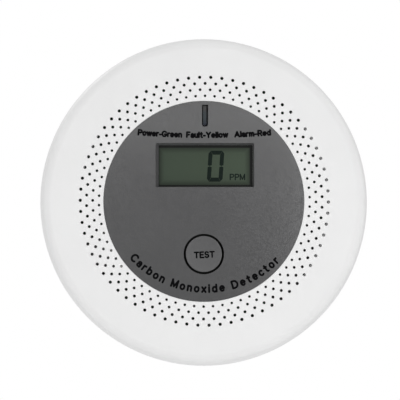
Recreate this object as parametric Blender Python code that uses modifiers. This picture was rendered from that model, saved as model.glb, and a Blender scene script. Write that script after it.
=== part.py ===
"""Round carbon monoxide detector on a twist-lock wall bracket.

The alarm hangs on a wall. World +Z is up, the wall is the plane y = 0 and the alarm's face looks
along -Y. Every piece is drawn as it is seen from the front: x to the right, y up, and z, called
depth here, straight out of the wall. The empty wall_frame turns that drawing upright.
"""

import math

import bmesh
import bpy
from mathutils import Matrix, Vector

MM = 0.001
GAP = 0.3 * MM

# Stack of depths, from the wall to the face.
DEPTH = 38.0 * MM
BRACKET_DEPTH = 3.5 * MM
REAR_FACE = BRACKET_DEPTH + GAP
REAR_WALL = 2.0 * MM
SPLIT = 12.0 * MM
TRAY_TOP = 22.0 * MM
BOARD_BACK = 24.0 * MM
BOARD_FRONT = 25.6 * MM
SEAT = BOARD_FRONT + GAP
FLOOR_BACK = 35.0 * MM
FLOOR_FRONT = 36.2 * MM
VENT_WALL_BACK = 35.8 * MM

# Outer case.
CASE_RADIUS = 50.0 * MM
FACE_RADIUS = 45.3 * MM
SHOULDER = 2.8 * MM
SHELL_STEPS = 70
SHELL_TURN = math.radians(90.9)

# Vent holes: four rings, each staggered by half a pitch from the next.
VENTS_PER_RING = 70
VENT_RINGS = 4
VENT_FIRST_RADIUS = 31.3 * MM
VENT_RING_PITCH = 1.85 * MM
VENT_FIRST_HOLE = 0.40 * MM
VENT_HOLE_GROWTH = 0.03 * MM
VENT_PHASE = math.radians(89.6)

# A low rib inside the cover, behind the right-hand stretch of the outermost ring of vents.
RIB = (36.9 * MM, 38.1 * MM)
RIB_SPAN = (math.radians(-30), math.radians(36))
RIB_BACK = 34.9 * MM

# Grey faceplate and what looks through it.
PLATE_RADIUS = 29.8 * MM
PLATE_BACK = FLOOR_FRONT + GAP
WINDOW_CENTRE_Y = 10.8 * MM
WINDOW_OUTER = (29.4 * MM, 13.2 * MM)
WINDOW_INNER = (27.2 * MM, 11.8 * MM)
WINDOW_INNER_DROP = 0.25 * MM
GLASS_SIZE = (30.4 * MM, 16.6 * MM)
GLASS_BACK = 33.6 * MM
GLASS_FRONT = 36.0 * MM
SLOT_X = 0.3 * MM
SLOT_WIDTH = 1.9 * MM
SLOT_BOTTOM = 22.2 * MM
SLOT_TOP = 28.9 * MM
BUTTON_Y = -15.65 * MM
BUTTON_RADIUS = 5.5 * MM
BUTTON_HOLE_RADIUS = 6.05 * MM
BUTTON_FLANGE_RADIUS = 6.9 * MM

# Battery compartment in the rear housing.
CELL_RADIUS = 7.2 * MM
CELL_PITCH = 14.6 * MM
CELL_LENGTH = 50.2 * MM
CELL_DEPTH = 13.2 * MM
TRAY_HALF_X = 28.5 * MM
TRAY_HALF_Y = 22.0 * MM
TRAY_WALL = 1.5 * MM
TRAY_FLOOR = 20.7 * MM
DOORWAY_HALF_X = 27.5 * MM
DOORWAY_HALF_Y = 23.0 * MM
DOOR_THICKNESS = 1.8 * MM
HINGE_Y = 21.8 * MM
HINGE_DEPTH = REAR_FACE + DOOR_THICKNESS / 2
CONTACT_THICKNESS = 0.35 * MM

# Bayonet: hooks on the bracket, slots in the rear housing.
RING_INNER = 37.6 * MM
RING_OUTER = 47.0 * MM
RING_PLATE = 2.4 * MM
HOOK_ANGLES = [math.radians(a) for a in (0, 90, 180, 270)]
HOOK_HALF_WIDTH = 2.5 * MM
HOOK_STEM = (40.2 * MM, 41.8 * MM)
HOOK_HEAD_INNER = 38.4 * MM
HOOK_HEAD = (6.2 * MM, 7.8 * MM)
TWIST = math.radians(15)
WALL_SLOT_ANGLES = [math.radians(a) for a in (45, 135, 225, 315)]
WALL_SLOT_RADIUS = 42.0 * MM
WALL_SLOT_HALF_WIDTH = 2.1 * MM

# Fasteners.
CASE_SCREW_ANGLES = [math.radians(a) for a in (60, 120, 240, 300)]
CASE_SCREW_RADIUS = 42.5 * MM
CASE_BOSS_RADIUS = 3.0 * MM
BOARD_SCREW_ANGLES = [math.radians(a) for a in (0, 155, 270)]
BOARD_SCREW_RADIUS = 38.5 * MM
BOARD_POST_RADIUS = 2.5 * MM
BOARD_RADIUS = 42.0 * MM

# Parts on the circuit board.
SENSOR = (-28.5 * MM, -15.0 * MM)
SOUNDER = (22.0 * MM, -17.0 * MM)
SOUNDER_RADIUS = 13.5 * MM


# ---------------------------------------------------------------- scene and materials


def clear_scene():
    for obj in list(bpy.data.objects):
        bpy.data.objects.remove(obj, do_unlink=True)


def new_collection(name):
    collection = bpy.data.collections.new(name)
    bpy.context.scene.collection.children.link(collection)
    return collection


def material(name, colour, roughness, metallic=0.0, alpha=1.0):
    result = bpy.data.materials.new(name)
    result.use_nodes = True
    result.diffuse_color = (*colour, alpha)
    shader = result.node_tree.nodes["Principled BSDF"]
    shader.inputs["Base Color"].default_value = (*colour, 1.0)
    shader.inputs["Roughness"].default_value = roughness
    shader.inputs["Metallic"].default_value = metallic
    shader.inputs["Alpha"].default_value = alpha
    return result


def empty(name, parent=None, location=(0, 0, 0), rotation=(0, 0, 0)):
    result = bpy.data.objects.new(name, None)
    result.location = location
    result.rotation_euler = rotation
    result.parent = parent
    parts.objects.link(result)
    return result


# ---------------------------------------------------------------- mesh makers


def evaluated_mesh(obj, weld=1e-6):
    """The mesh that an object's modifiers or curve make, with its loose caps welded."""
    bpy.context.view_layer.update()
    graph = bpy.context.evaluated_depsgraph_get()
    mesh = bpy.data.meshes.new_from_object(obj.evaluated_get(graph))
    shape = bmesh.new()
    shape.from_mesh(mesh)
    bmesh.ops.remove_doubles(shape, verts=shape.verts, dist=weld)
    bmesh.ops.recalc_face_normals(shape, faces=shape.faces)
    shape.to_mesh(mesh)
    shape.free()
    bpy.data.objects.remove(obj, do_unlink=True)
    return mesh


def turned(profile, steps=32, centre=(0, 0), turn=0.0):
    """A solid of revolution: profile is (radius, depth) points, its outer side running front to back."""
    closed = profile[0][0] > 0
    mesh = bpy.data.meshes.new("profile")
    edges = [(i, i + 1) for i in range(len(profile) - 1)]
    if closed:
        edges.append((len(profile) - 1, 0))
    mesh.from_pydata([(r, 0, z) for r, z in profile], edges, [])
    source = bpy.data.objects.new("profile", mesh)
    helpers.objects.link(source)
    screw = source.modifiers.new("turn", "SCREW")
    screw.axis = "Z"
    screw.steps = steps
    screw.render_steps = steps
    screw.use_merge_vertices = True
    screw.merge_threshold = 1e-5
    result = evaluated_mesh(source)
    result.transform(Matrix.Translation((*centre, 0)) @ Matrix.Rotation(turn, 4, "Z"))
    return result


def outlined(outlines, back, front):
    """A flat plate between two depths, from closed outlines: one inside another is a hole."""
    curve = bpy.data.curves.new("outline", "CURVE")
    curve.dimensions = "2D"
    curve.fill_mode = "BOTH"
    curve.extrude = (front - back) / 2
    for points in outlines:
        spline = curve.splines.new("POLY")
        spline.points.add(len(points) - 1)
        for target, (x, y) in zip(spline.points, points):
            target.co = (x, y, 0, 1)
        spline.use_cyclic_u = True
    source = bpy.data.objects.new("outline", curve)
    helpers.objects.link(source)
    result = evaluated_mesh(source)
    result.transform(Matrix.Translation((0, 0, (front + back) / 2)))
    return result


def wire(points, radius):
    """A round wire with filled ends along a list of points."""
    curve = bpy.data.curves.new("wire", "CURVE")
    curve.dimensions = "3D"
    curve.bevel_depth = radius
    curve.bevel_resolution = 2
    curve.use_fill_caps = True
    spline = curve.splines.new("POLY")
    spline.points.add(len(points) - 1)
    for target, point in zip(spline.points, points):
        target.co = (*point, 1)
    source = bpy.data.objects.new("wire", curve)
    helpers.objects.link(source)
    return evaluated_mesh(source)


def boxes(*corners):
    """Boxes in one mesh, each from its lowest and highest corner."""
    shape = bmesh.new()
    for low, high in corners:
        low, high = Vector(low), Vector(high)
        place = Matrix.Translation((low + high) / 2) @ Matrix.Diagonal((*(high - low), 1))
        bmesh.ops.create_cube(shape, size=1.0, matrix=place)
    return finished(shape)


def pillars(places, radius, back, front, segments=12, turn=0.0):
    """Round pillars or drills between two depths, one at each (x, y)."""
    shape = bmesh.new()
    for x, y in places:
        place = Matrix.Translation((x, y, (back + front) / 2)) @ Matrix.Rotation(turn, 4, "Z")
        bmesh.ops.create_cone(
            shape, cap_ends=True, segments=segments, radius1=radius, radius2=radius,
            depth=front - back, matrix=place,
        )
    return finished(shape)


def joined(*meshes):
    shape = bmesh.new()
    for mesh in meshes:
        shape.from_mesh(mesh)
    return finished(shape)


def finished(shape):
    mesh = bpy.data.meshes.new("shape")
    shape.to_mesh(mesh)
    shape.free()
    return mesh


# ---------------------------------------------------------------- outlines


def polar(radius, angle):
    return (radius * math.cos(angle), radius * math.sin(angle))


def arc(centre, radius, start, end, count):
    steps = [start + (end - start) * i / (count - 1) for i in range(count)]
    return [(centre[0] + radius * math.cos(a), centre[1] + radius * math.sin(a)) for a in steps]


def circle(radius, count=32, centre=(0, 0)):
    return arc(centre, radius, 0, 2 * math.pi * (count - 1) / count, count)


def rounded_box(width, height, radius, centre=(0, 0), count=4):
    points = []
    corners = ((1, 1), (-1, 1), (-1, -1), (1, -1))
    for quarter, (sx, sy) in enumerate(corners):
        corner = (
            centre[0] + sx * (width / 2 - radius),
            centre[1] + sy * (height / 2 - radius),
        )
        start = quarter * math.pi / 2
        points += arc(corner, radius, start, start + math.pi / 2, count)
    return points


def ring_sector(inner, outer, start, end, count=12):
    """A strip that follows a circle, with square ends."""
    return arc((0, 0), outer, start, end, count) + arc((0, 0), inner, end, start, count)


def ring_slot(radius, half_width, start, end, count=8):
    """A slot that follows a circle, with round ends."""
    return (
        arc((0, 0), radius + half_width, start, end, count)
        + arc(polar(radius, end), half_width, end, end + math.pi, 7)[1:-1]
        + arc((0, 0), radius - half_width, end, start, count)
        + arc(polar(radius, start), half_width, start + math.pi, start + 2 * math.pi, 7)[1:-1]
    )


def slot_outline(width, bottom, top):
    """The indicator slot: square at the top, round at the bottom."""
    centre = (SLOT_X, bottom + width / 2)
    sides = [(SLOT_X + width / 2, top), (SLOT_X - width / 2, top)]
    return sides + arc(centre, width / 2, math.pi, 2 * math.pi, 9)


# ---------------------------------------------------------------- objects


def part(name, mesh, look, parent, sharp=35):
    mesh.shade_smooth()
    mesh.set_sharp_from_angle(angle=math.radians(sharp))
    mesh.materials.clear()
    mesh.materials.append(look)
    result = bpy.data.objects.new(name, mesh)
    result.parent = parent
    parts.objects.link(result)
    return result


def combine(target, mesh, operation):
    """A Boolean with a helper that stays out of the render."""
    label = f"{target.name}_{operation.lower()}_{len(target.modifiers)}"
    helper = bpy.data.objects.new(label, mesh)
    helper.hide_render = True
    helper.display_type = "WIRE"
    helper.parent = target.parent
    helper.location = target.location
    helper.rotation_euler = target.rotation_euler
    helpers.objects.link(helper)
    boolean = target.modifiers.new(operation.lower(), "BOOLEAN")
    boolean.operation = operation
    boolean.object = helper
    boolean.solver = "EXACT"


def cut(target, mesh):
    combine(target, mesh, "DIFFERENCE")


def join(target, mesh):
    combine(target, mesh, "UNION")


# ---------------------------------------------------------------- mounting bracket


def mounting_bracket():
    rim = 1.2 * MM
    chamfer = 0.6 * MM
    profile = [
        (RING_OUTER - chamfer, BRACKET_DEPTH),
        (RING_OUTER, BRACKET_DEPTH - chamfer),
        (RING_OUTER, 0),
        (RING_INNER, 0),
        (RING_INNER, BRACKET_DEPTH),
        (RING_INNER + rim, BRACKET_DEPTH),
        (RING_INNER + rim, RING_PLATE),
        (RING_OUTER - chamfer - rim, RING_PLATE),
        (RING_OUTER - chamfer - rim, BRACKET_DEPTH),
    ]
    bracket = part("mounting_bracket", turned(profile, 56), white_plastic, wall_frame)
    # Each hook is an L in side view, drawn as (radius, depth) and stretched along the ring.
    root = RING_PLATE - 0.5 * MM
    side = [
        (HOOK_STEM[0], root), (HOOK_STEM[1], root), (HOOK_STEM[1], HOOK_HEAD[1]),
        (HOOK_HEAD_INNER, HOOK_HEAD[1]), (HOOK_HEAD_INNER, HOOK_HEAD[0]), (HOOK_STEM[0], HOOK_HEAD[0]),
    ]
    hooks = []
    for angle in HOOK_ANGLES:
        hook = outlined([side], -HOOK_HALF_WIDTH, HOOK_HALF_WIDTH)
        hook.transform(Matrix.Rotation(angle, 4, "Z") @ Matrix.Rotation(math.pi / 2, 4, "X"))
        hooks.append(hook)
    join(bracket, joined(*hooks))
    half_arc = math.radians(7)
    slots = [
        ring_slot(WALL_SLOT_RADIUS, WALL_SLOT_HALF_WIDTH, a - half_arc, a + half_arc)
        for a in WALL_SLOT_ANGLES
    ]
    cut(bracket, joined(*[outlined([s], -1 * MM, RING_PLATE + 0.4 * MM) for s in slots]))


# ---------------------------------------------------------------- rear housing


def rear_housing():
    inner_face = REAR_FACE + REAR_WALL
    tongue_top = SPLIT + 2.0 * MM
    profile = [
        (0, inner_face),
        (46.0 * MM, inner_face),
        (46.0 * MM, tongue_top),
        (47.0 * MM, tongue_top),
        (47.0 * MM, SPLIT - GAP),
        (CASE_RADIUS - 0.2 * MM, SPLIT - GAP),
        (CASE_RADIUS, 8.0 * MM),
        (CASE_RADIUS, 6.0 * MM),
        (CASE_RADIUS - 0.8 * MM, 4.5 * MM),
        (CASE_RADIUS - 2.2 * MM, REAR_FACE),
        (0, REAR_FACE),
    ]
    housing = part("rear_housing", turned(profile, 60), white_plastic, alarm)

    wall = TRAY_WALL
    join(housing, joined(
        boxes(
            ((-TRAY_HALF_X - wall, -TRAY_HALF_Y - wall, inner_face - 0.8 * MM),
             (TRAY_HALF_X + wall, TRAY_HALF_Y + wall, TRAY_TOP)),
        ),
        pillars(case_screws(), 3.5 * MM, inner_face - 0.8 * MM, 7.7 * MM, 16),
    ))
    cut(housing, boxes(
        ((-TRAY_HALF_X, -TRAY_HALF_Y, inner_face - 0.2 * MM),
         (TRAY_HALF_X, TRAY_HALF_Y, TRAY_FLOOR)),
    ))
    cut(housing, boxes(
        ((-DOORWAY_HALF_X, -DOORWAY_HALF_Y, REAR_FACE - 1 * MM),
         (DOORWAY_HALF_X, DOORWAY_HALF_Y, inner_face + 0.1 * MM)),
    ))
    # Notches that hold the door's two hinge pins.
    pin_half = 1.05 * MM
    pin_end = DOORWAY_HALF_X + 1.5 * MM
    cut(housing, boxes(*[
        ((low, HINGE_Y - pin_half, REAR_FACE - 1 * MM),
         (high, HINGE_Y + pin_half, inner_face + 0.05 * MM))
        for low, high in (
            (-pin_end, -DOORWAY_HALF_X + 1 * MM),
            (DOORWAY_HALF_X - 1 * MM, pin_end),
        )
    ]))
    cut(housing, joined(*[bayonet_slot(a) for a in HOOK_ANGLES]))
    cut(housing, pillars(case_screws(), 1.6 * MM, REAR_FACE - 1 * MM, 9 * MM, 12))
    cut(housing, pillars(case_screws(), 2.9 * MM, REAR_FACE - 1 * MM, 6.0 * MM, 16))
    # Slots in the tray's end walls for the two solder tabs.
    cut(housing, boxes(
        ((TRAY_HALF_X - 0.5 * MM, CELL_PITCH - 1.9 * MM, 17.9 * MM),
         (TRAY_HALF_X + wall + 0.5 * MM, CELL_PITCH + 1.9 * MM, 18.9 * MM)),
        ((-TRAY_HALF_X - wall - 0.5 * MM, -CELL_PITCH - 1.9 * MM, 17.9 * MM),
         (-TRAY_HALF_X + 0.5 * MM, -CELL_PITCH + 1.9 * MM, 18.9 * MM)),
    ))


def bayonet_slot(angle):
    """Narrow where the hook locks, wide where its head passes after the twist."""
    half = HOOK_HALF_WIDTH / HOOK_STEM[0] + math.radians(0.8)
    outer = HOOK_STEM[1] + GAP + 0.05 * MM
    narrow = HOOK_STEM[0] - GAP
    wide = HOOK_HEAD_INNER - GAP
    release = angle - TWIST
    outline = (
        arc((0, 0), outer, release - half, angle + half, 12)
        + arc((0, 0), narrow, angle + half, release + half, 8)
        + arc((0, 0), wide, release + half, release - half, 6)
    )
    return outlined([outline], REAR_FACE - 1 * MM, REAR_FACE + REAR_WALL + 1 * MM)


def case_screws():
    return [polar(CASE_SCREW_RADIUS, a) for a in CASE_SCREW_ANGLES]


def board_screws():
    return [polar(BOARD_SCREW_RADIUS, a) for a in BOARD_SCREW_ANGLES]


# ---------------------------------------------------------------- battery door, cells and contacts


def battery_door():
    """Drawn round its hinge: the knuckle at the top edge is centred on the pins."""
    half_x = DOORWAY_HALF_X - GAP
    half_t = DOOR_THICKNESS / 2
    bottom = -DOORWAY_HALF_Y + GAP - HINGE_Y
    corner = 1.5 * MM
    side = [
        (0, half_t), *[
            (half_t * math.cos(a), half_t * math.sin(a))
            for a in (math.radians(d) for d in (60, 30, 0, -30, -60))
        ], (0, -half_t), (bottom + 0.4 * MM, -half_t), (bottom, -half_t + 0.4 * MM), (bottom, half_t),
    ]
    # The side view is drawn as (y, depth) and stretched along x.
    mesh = outlined([side], -half_x, half_x)
    mesh.transform(Matrix(((0, 0, 1, 0), (1, 0, 0, 0), (0, 1, 0, 0), (0, 0, 0, 1))))
    door = part("battery_door", mesh, white_plastic, door_hinge)
    pins = []
    for side_sign in (-1, 1):
        pin = pillars([(0, 0)], 0.75 * MM, half_x - 0.6 * MM, half_x + 1.4 * MM, 12)
        pin.transform(Matrix.Rotation(side_sign * math.pi / 2, 4, "Y"))
        pins.append(pin)
    join(door, joined(*pins))
    # Two slits free the latch finger at the bottom edge, and three grooves give a grip.
    finger = 6.0 * MM
    slit = 0.8 * MM
    reach = 9.0 * MM
    cut(door, boxes(*[
        ((x - slit / 2, bottom - 1 * MM, -2 * MM), (x + slit / 2, bottom + reach, 2 * MM))
        for x in (-finger, finger)
    ]))
    cut(door, boxes(*[
        ((-4.5 * MM, bottom + y, -half_t - 1 * MM), (4.5 * MM, bottom + y + 0.8 * MM, -half_t + 0.5 * MM))
        for y in (2.0 * MM, 3.8 * MM, 5.6 * MM)
    ]))


def cell(name, row, nub_sign):
    nub = 2.6 * MM
    profile = [
        (0, CELL_LENGTH),
        (nub, CELL_LENGTH),
        (nub, CELL_LENGTH - 1.0 * MM),
        (CELL_RADIUS - 0.5 * MM, CELL_LENGTH - 1.0 * MM),
        (CELL_RADIUS, CELL_LENGTH - 1.5 * MM),
        (CELL_RADIUS, 0.5 * MM),
        (CELL_RADIUS - 0.5 * MM, 0),
        (0, 0),
    ]
    mesh = turned(profile, 16)
    nub_end = TRAY_HALF_X - GAP - CONTACT_THICKNESS - GAP
    mesh.transform(Matrix.Translation((0, 0, nub_end - CELL_LENGTH)))
    mesh.transform(Matrix.Rotation(nub_sign * math.pi / 2, 4, "Y"))
    mesh.transform(Matrix.Translation((0, row * CELL_PITCH, CELL_DEPTH)))
    part(name, mesh, cell_jacket, alarm)


def contact(name, sign, low_y, high_y, tab_y=None):
    outer = TRAY_HALF_X - GAP
    inner = outer - CONTACT_THICKNESS
    xs = sorted((sign * inner, sign * outer))
    plate = part(name, boxes(((xs[0], low_y, 6.6 * MM), (xs[1], high_y, 19.6 * MM))), steel, alarm)
    if tab_y is not None:
        reach = TRAY_HALF_X + TRAY_WALL + 1.8 * MM
        ts = sorted((sign * (inner + 0.1 * MM), sign * reach))
        join(plate, boxes(((ts[0], tab_y - 1.5 * MM, 18.2 * MM), (ts[1], tab_y + 1.5 * MM, 18.6 * MM))))


def battery_spring(name, sign, row):
    """A conical coil, wide end at the plate, narrow end at the cell."""
    wire_radius = 0.35 * MM
    plate = TRAY_HALF_X - 2 * GAP - CONTACT_THICKNESS - wire_radius
    nub_end = TRAY_HALF_X - 2 * GAP - CONTACT_THICKNESS
    tip = CELL_LENGTH - nub_end + GAP + wire_radius
    turns = 2.5
    per_turn = 10
    count = int(turns * per_turn) + 1
    points = []
    for i in range(count):
        t = i / (count - 1)
        radius = (4.2 - 1.6 * t) * MM
        angle = 2 * math.pi * turns * t
        x = sign * (plate + (tip - plate) * t)
        points.append((x, row * CELL_PITCH + radius * math.cos(angle), CELL_DEPTH + radius * math.sin(angle)))
    part(name, wire(points, wire_radius), steel, alarm, 60)


def batteries_and_contacts():
    cell("battery_top", 1, 1)
    cell("battery_middle", 0, -1)
    cell("battery_bottom", -1, 1)
    reach = 6.0 * MM
    contact("contact_positive", 1, CELL_PITCH - reach, CELL_PITCH + reach, CELL_PITCH)
    contact("contact_bridge_right", 1, -CELL_PITCH - reach, reach)
    contact("contact_bridge_left", -1, -reach, CELL_PITCH + reach)
    contact("contact_negative", -1, -CELL_PITCH - reach, -CELL_PITCH + reach, -CELL_PITCH)
    battery_spring("spring_top", -1, 1)
    battery_spring("spring_middle", 1, 0)
    battery_spring("spring_bottom", -1, -1)


# ---------------------------------------------------------------- front cover and faceplate


def front_cover():
    corner = (FACE_RADIUS, DEPTH - SHOULDER)
    shoulder = [
        (corner[0] + SHOULDER * math.sin(a), corner[1] + SHOULDER * math.cos(a))
        for a in (math.radians(d) for d in (0, 22, 44, 64, 84))
    ]
    pocket = PLATE_RADIUS + GAP
    profile = [
        (0, FLOOR_FRONT),
        (pocket, FLOOR_FRONT),
        (pocket, DEPTH),
        *shoulder,
        (CASE_RADIUS - 0.25 * MM, SPLIT + 0.2 * MM),
        (47.5 * MM, SPLIT + 0.2 * MM),
        (45.6 * MM, 34.6 * MM),
        (44.4 * MM, VENT_WALL_BACK),
        (pocket + 0.9 * MM, VENT_WALL_BACK),
        (pocket + 0.5 * MM, FLOOR_BACK),
        (0, FLOOR_BACK),
    ]
    cover = part("front_cover", turned(profile, SHELL_STEPS, turn=SHELL_TURN), white_plastic, alarm)
    join(cover, joined(
        pillars(case_screws(), CASE_BOSS_RADIUS, 8.0 * MM, VENT_WALL_BACK + 0.5 * MM),
        pillars(board_screws(), BOARD_POST_RADIUS, SEAT, VENT_WALL_BACK + 0.5 * MM),
    ))
    join(cover, outlined([ring_sector(*RIB, *RIB_SPAN)], RIB_BACK, VENT_WALL_BACK + 0.4 * MM))
    cut(cover, joined(
        pillars(case_screws(), 1.4 * MM, 7.0 * MM, 18 * MM, 8),
        pillars(board_screws(), 1.3 * MM, BOARD_FRONT - 1 * MM, 32 * MM, 8),
    ))
    window = rounded_box(
        GLASS_SIZE[0] + 2 * GAP, GLASS_SIZE[1] + 2 * GAP, 0.4 * MM, glass_centre(), 2
    )
    slot = slot_outline(SLOT_WIDTH, SLOT_BOTTOM, SLOT_TOP)
    button = circle(BUTTON_HOLE_RADIUS, 28, (0, BUTTON_Y))
    cut(cover, joined(*[
        outlined([o], FLOOR_BACK - 1 * MM, FLOOR_FRONT + 1 * MM) for o in (window, slot, button)
    ]))
    cut(cover, joined(*[vent_ring(ring) for ring in range(VENT_RINGS)]))


def vent_ring(ring):
    radius = VENT_FIRST_RADIUS + ring * VENT_RING_PITCH
    pitch = 2 * math.pi / VENTS_PER_RING
    phase = VENT_PHASE + (ring % 2) * pitch / 2
    places = [polar(radius, phase + i * pitch) for i in range(VENTS_PER_RING)]
    hole = VENT_FIRST_HOLE + ring * VENT_HOLE_GROWTH
    return pillars(places, hole, VENT_WALL_BACK - 0.05 * MM, DEPTH + 1 * MM, 6)


def glass_centre():
    return (0, WINDOW_CENTRE_Y - WINDOW_INNER_DROP)


def faceplate():
    outer = rounded_box(*WINDOW_OUTER, 0.5 * MM, (0, WINDOW_CENTRE_Y), 3)
    inner = rounded_box(*WINDOW_INNER, 0.4 * MM, glass_centre(), 3)
    slot = slot_outline(SLOT_WIDTH, SLOT_BOTTOM, SLOT_TOP)
    button = circle(BUTTON_HOLE_RADIUS, 28, (0, BUTTON_Y))
    plate = part(
        "faceplate",
        outlined([circle(PLATE_RADIUS, 64), inner, slot, button], PLATE_BACK, DEPTH),
        grey_plastic, alarm,
    )
    cut(plate, bezel_cutter(inner, outer))


def bezel_cutter(inner, outer):
    """The sloped edge round the display: a loft between two rounded boxes with equal counts."""
    shape = bmesh.new()
    low = [shape.verts.new((x, y, PLATE_BACK + 0.1 * MM)) for x, y in inner]
    high = [shape.verts.new((x, y, DEPTH)) for x, y in outer]
    top = [shape.verts.new((x, y, DEPTH + 1 * MM)) for x, y in outer]
    count = len(low)
    for lower, upper in ((low, high), (high, top)):
        for i in range(count):
            j = (i + 1) % count
            shape.faces.new((lower[i], lower[j], upper[j], upper[i]))
    shape.faces.new(list(reversed(low)))
    shape.faces.new(top)
    bmesh.ops.recalc_face_normals(shape, faces=shape.faces)
    return finished(shape)


def light_pipe():
    width = SLOT_WIDTH - 2 * GAP
    stem = slot_outline(width, SLOT_BOTTOM + GAP, SLOT_TOP - GAP)
    pipe = part("light_pipe", outlined([stem], 27.5 * MM, DEPTH - 0.15 * MM), smoke, alarm)
    middle = (SLOT_BOTTOM + SLOT_TOP) / 2
    flange = rounded_box(3.8 * MM, 8.8 * MM, 0.5 * MM, (SLOT_X, middle), 3)
    join(pipe, outlined([flange], 33.4 * MM, FLOOR_BACK - GAP))


# ---------------------------------------------------------------- display


def display():
    part("lcd_glass", boxes(centred(GLASS_SIZE, glass_centre(), GLASS_BACK, GLASS_FRONT)), glass, alarm)
    top = FLOOR_BACK - GAP
    ledge = GLASS_BACK - GAP
    outer = rounded_box(34.2 * MM, 20.4 * MM, 0.8 * MM, glass_centre(), 3)
    cavity = rounded_box(28.6 * MM, 15.4 * MM, 0.4 * MM, glass_centre(), 2)
    holder = part("lcd_holder", outlined([outer, cavity], SEAT, top), white_plastic, alarm)
    seat = (GLASS_SIZE[0] + 2 * GAP, GLASS_SIZE[1] + 2 * GAP)
    cut(holder, boxes(centred(seat, glass_centre(), ledge, top + 1 * MM)))
    for name, sign in (("zebra_strip_upper", 1), ("zebra_strip_lower", -1)):
        centre = (0, glass_centre()[1] + sign * 6.3 * MM)
        part(name, boxes(centred((27.0 * MM, 2.0 * MM), centre, SEAT, ledge)), rubber, alarm)


def centred(size, centre, back, front):
    return (
        (centre[0] - size[0] / 2, centre[1] - size[1] / 2, back),
        (centre[0] + size[0] / 2, centre[1] + size[1] / 2, front),
    )


# ---------------------------------------------------------------- test button and its switch


def test_button():
    profile = [
        (0, DEPTH - 0.1 * MM),
        (BUTTON_RADIUS - 0.5 * MM, DEPTH - 0.1 * MM),
        (BUTTON_RADIUS, DEPTH - 0.5 * MM),
        (BUTTON_RADIUS, FLOOR_BACK - GAP - 0.2 * MM),
        (BUTTON_FLANGE_RADIUS, FLOOR_BACK - GAP - 0.2 * MM),
        (BUTTON_FLANGE_RADIUS, 33.4 * MM),
        (2.2 * MM, 33.4 * MM),
        (2.2 * MM, 31.5 * MM),
        (0, 31.5 * MM),
    ]
    part("test_button", turned(profile, 28), grey_plastic, button_axis)
    plunger = [(0, 31.2 * MM), (1.7 * MM, 31.2 * MM), (1.7 * MM, 28.6 * MM), (0, 28.6 * MM)]
    part("switch_plunger", turned(plunger, 14), black_plastic, button_axis)
    body = part(
        "switch_body",
        boxes(centred((6.0 * MM, 6.0 * MM), (0, BUTTON_Y), SEAT, 29.3 * MM)),
        black_plastic, alarm,
    )
    cut(body, pillars([(0, BUTTON_Y)], 2.1 * MM, 27.3 * MM, 31 * MM, 20))


# ---------------------------------------------------------------- circuit board


def board_outline():
    """A round board with a round notch at each case screw boss."""
    notch = CASE_BOSS_RADIUS + 2 * GAP
    square = BOARD_RADIUS ** 2 + CASE_SCREW_RADIUS ** 2 - notch ** 2
    half = math.acos(square / (2 * BOARD_RADIUS * CASE_SCREW_RADIUS))
    mouth = math.atan2(
        BOARD_RADIUS * math.sin(half), BOARD_RADIUS * math.cos(half) - CASE_SCREW_RADIUS
    )
    following = [*CASE_SCREW_ANGLES[1:], CASE_SCREW_ANGLES[0] + 2 * math.pi]
    outline = []
    for angle, next_angle in zip(CASE_SCREW_ANGLES, following):
        centre = polar(CASE_SCREW_RADIUS, angle)
        outline += arc(centre, notch, angle - mouth, angle + mouth - 2 * math.pi, 9)
        outline += arc((0, 0), BOARD_RADIUS, angle + half, next_angle - half, 16)[1:-1]
    return outline


def main_pcb():
    holes = [circle(1.3 * MM, 12, place) for place in board_screws()]
    board = outlined([board_outline(), *holes], BOARD_BACK, BOARD_FRONT)
    part("main_pcb", board, board_green, alarm)


def gas_sensor():
    part("sensor_base", turned(drum(7.6 * MM, SEAT, 27.2 * MM), 20, SENSOR), black_plastic, alarm)
    can = [
        (0, 33.0 * MM), (6.2 * MM, 33.0 * MM), (6.9 * MM, 32.4 * MM),
        (6.9 * MM, 28.4 * MM), (7.4 * MM, 28.2 * MM), (7.4 * MM, 27.5 * MM), (0, 27.5 * MM),
    ]
    part("sensor_can", turned(can, 20, SENSOR), steel, alarm)
    ring = [
        (5.0 * MM, 34.0 * MM), (5.2 * MM, 33.8 * MM), (5.2 * MM, 33.3 * MM),
        (1.0 * MM, 33.3 * MM), (1.0 * MM, 34.0 * MM),
    ]
    part("sensor_filter_cap", turned(ring, 20, SENSOR), white_plastic, alarm)


def drum(radius, back, front):
    return [(0, front), (radius, front), (radius, back), (0, back)]


def sounder():
    wall = 1.2 * MM
    rim = 33.2 * MM
    cup = [
        (SOUNDER_RADIUS - wall, rim), (SOUNDER_RADIUS, rim), (SOUNDER_RADIUS, SEAT),
        (1.5 * MM, SEAT), (1.5 * MM, SEAT + wall), (10.6 * MM, SEAT + wall), (10.6 * MM, 28.6 * MM),
        (SOUNDER_RADIUS - wall, 28.6 * MM),
    ]
    part("sounder_housing", turned(cup, 24, SOUNDER), black_plastic, alarm)
    disc = drum(SOUNDER_RADIUS - wall - GAP, 28.9 * MM, 29.3 * MM)
    part("piezo_disc", turned(disc, 24, SOUNDER), brass, alarm)
    cap = [
        (SOUNDER_RADIUS - 0.6 * MM, 34.6 * MM), (SOUNDER_RADIUS, 34.0 * MM), (SOUNDER_RADIUS, rim + GAP),
        (2.0 * MM, rim + GAP), (2.0 * MM, 34.6 * MM),
    ]
    part("sounder_cap", turned(cap, 24, SOUNDER), black_plastic, alarm)


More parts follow.
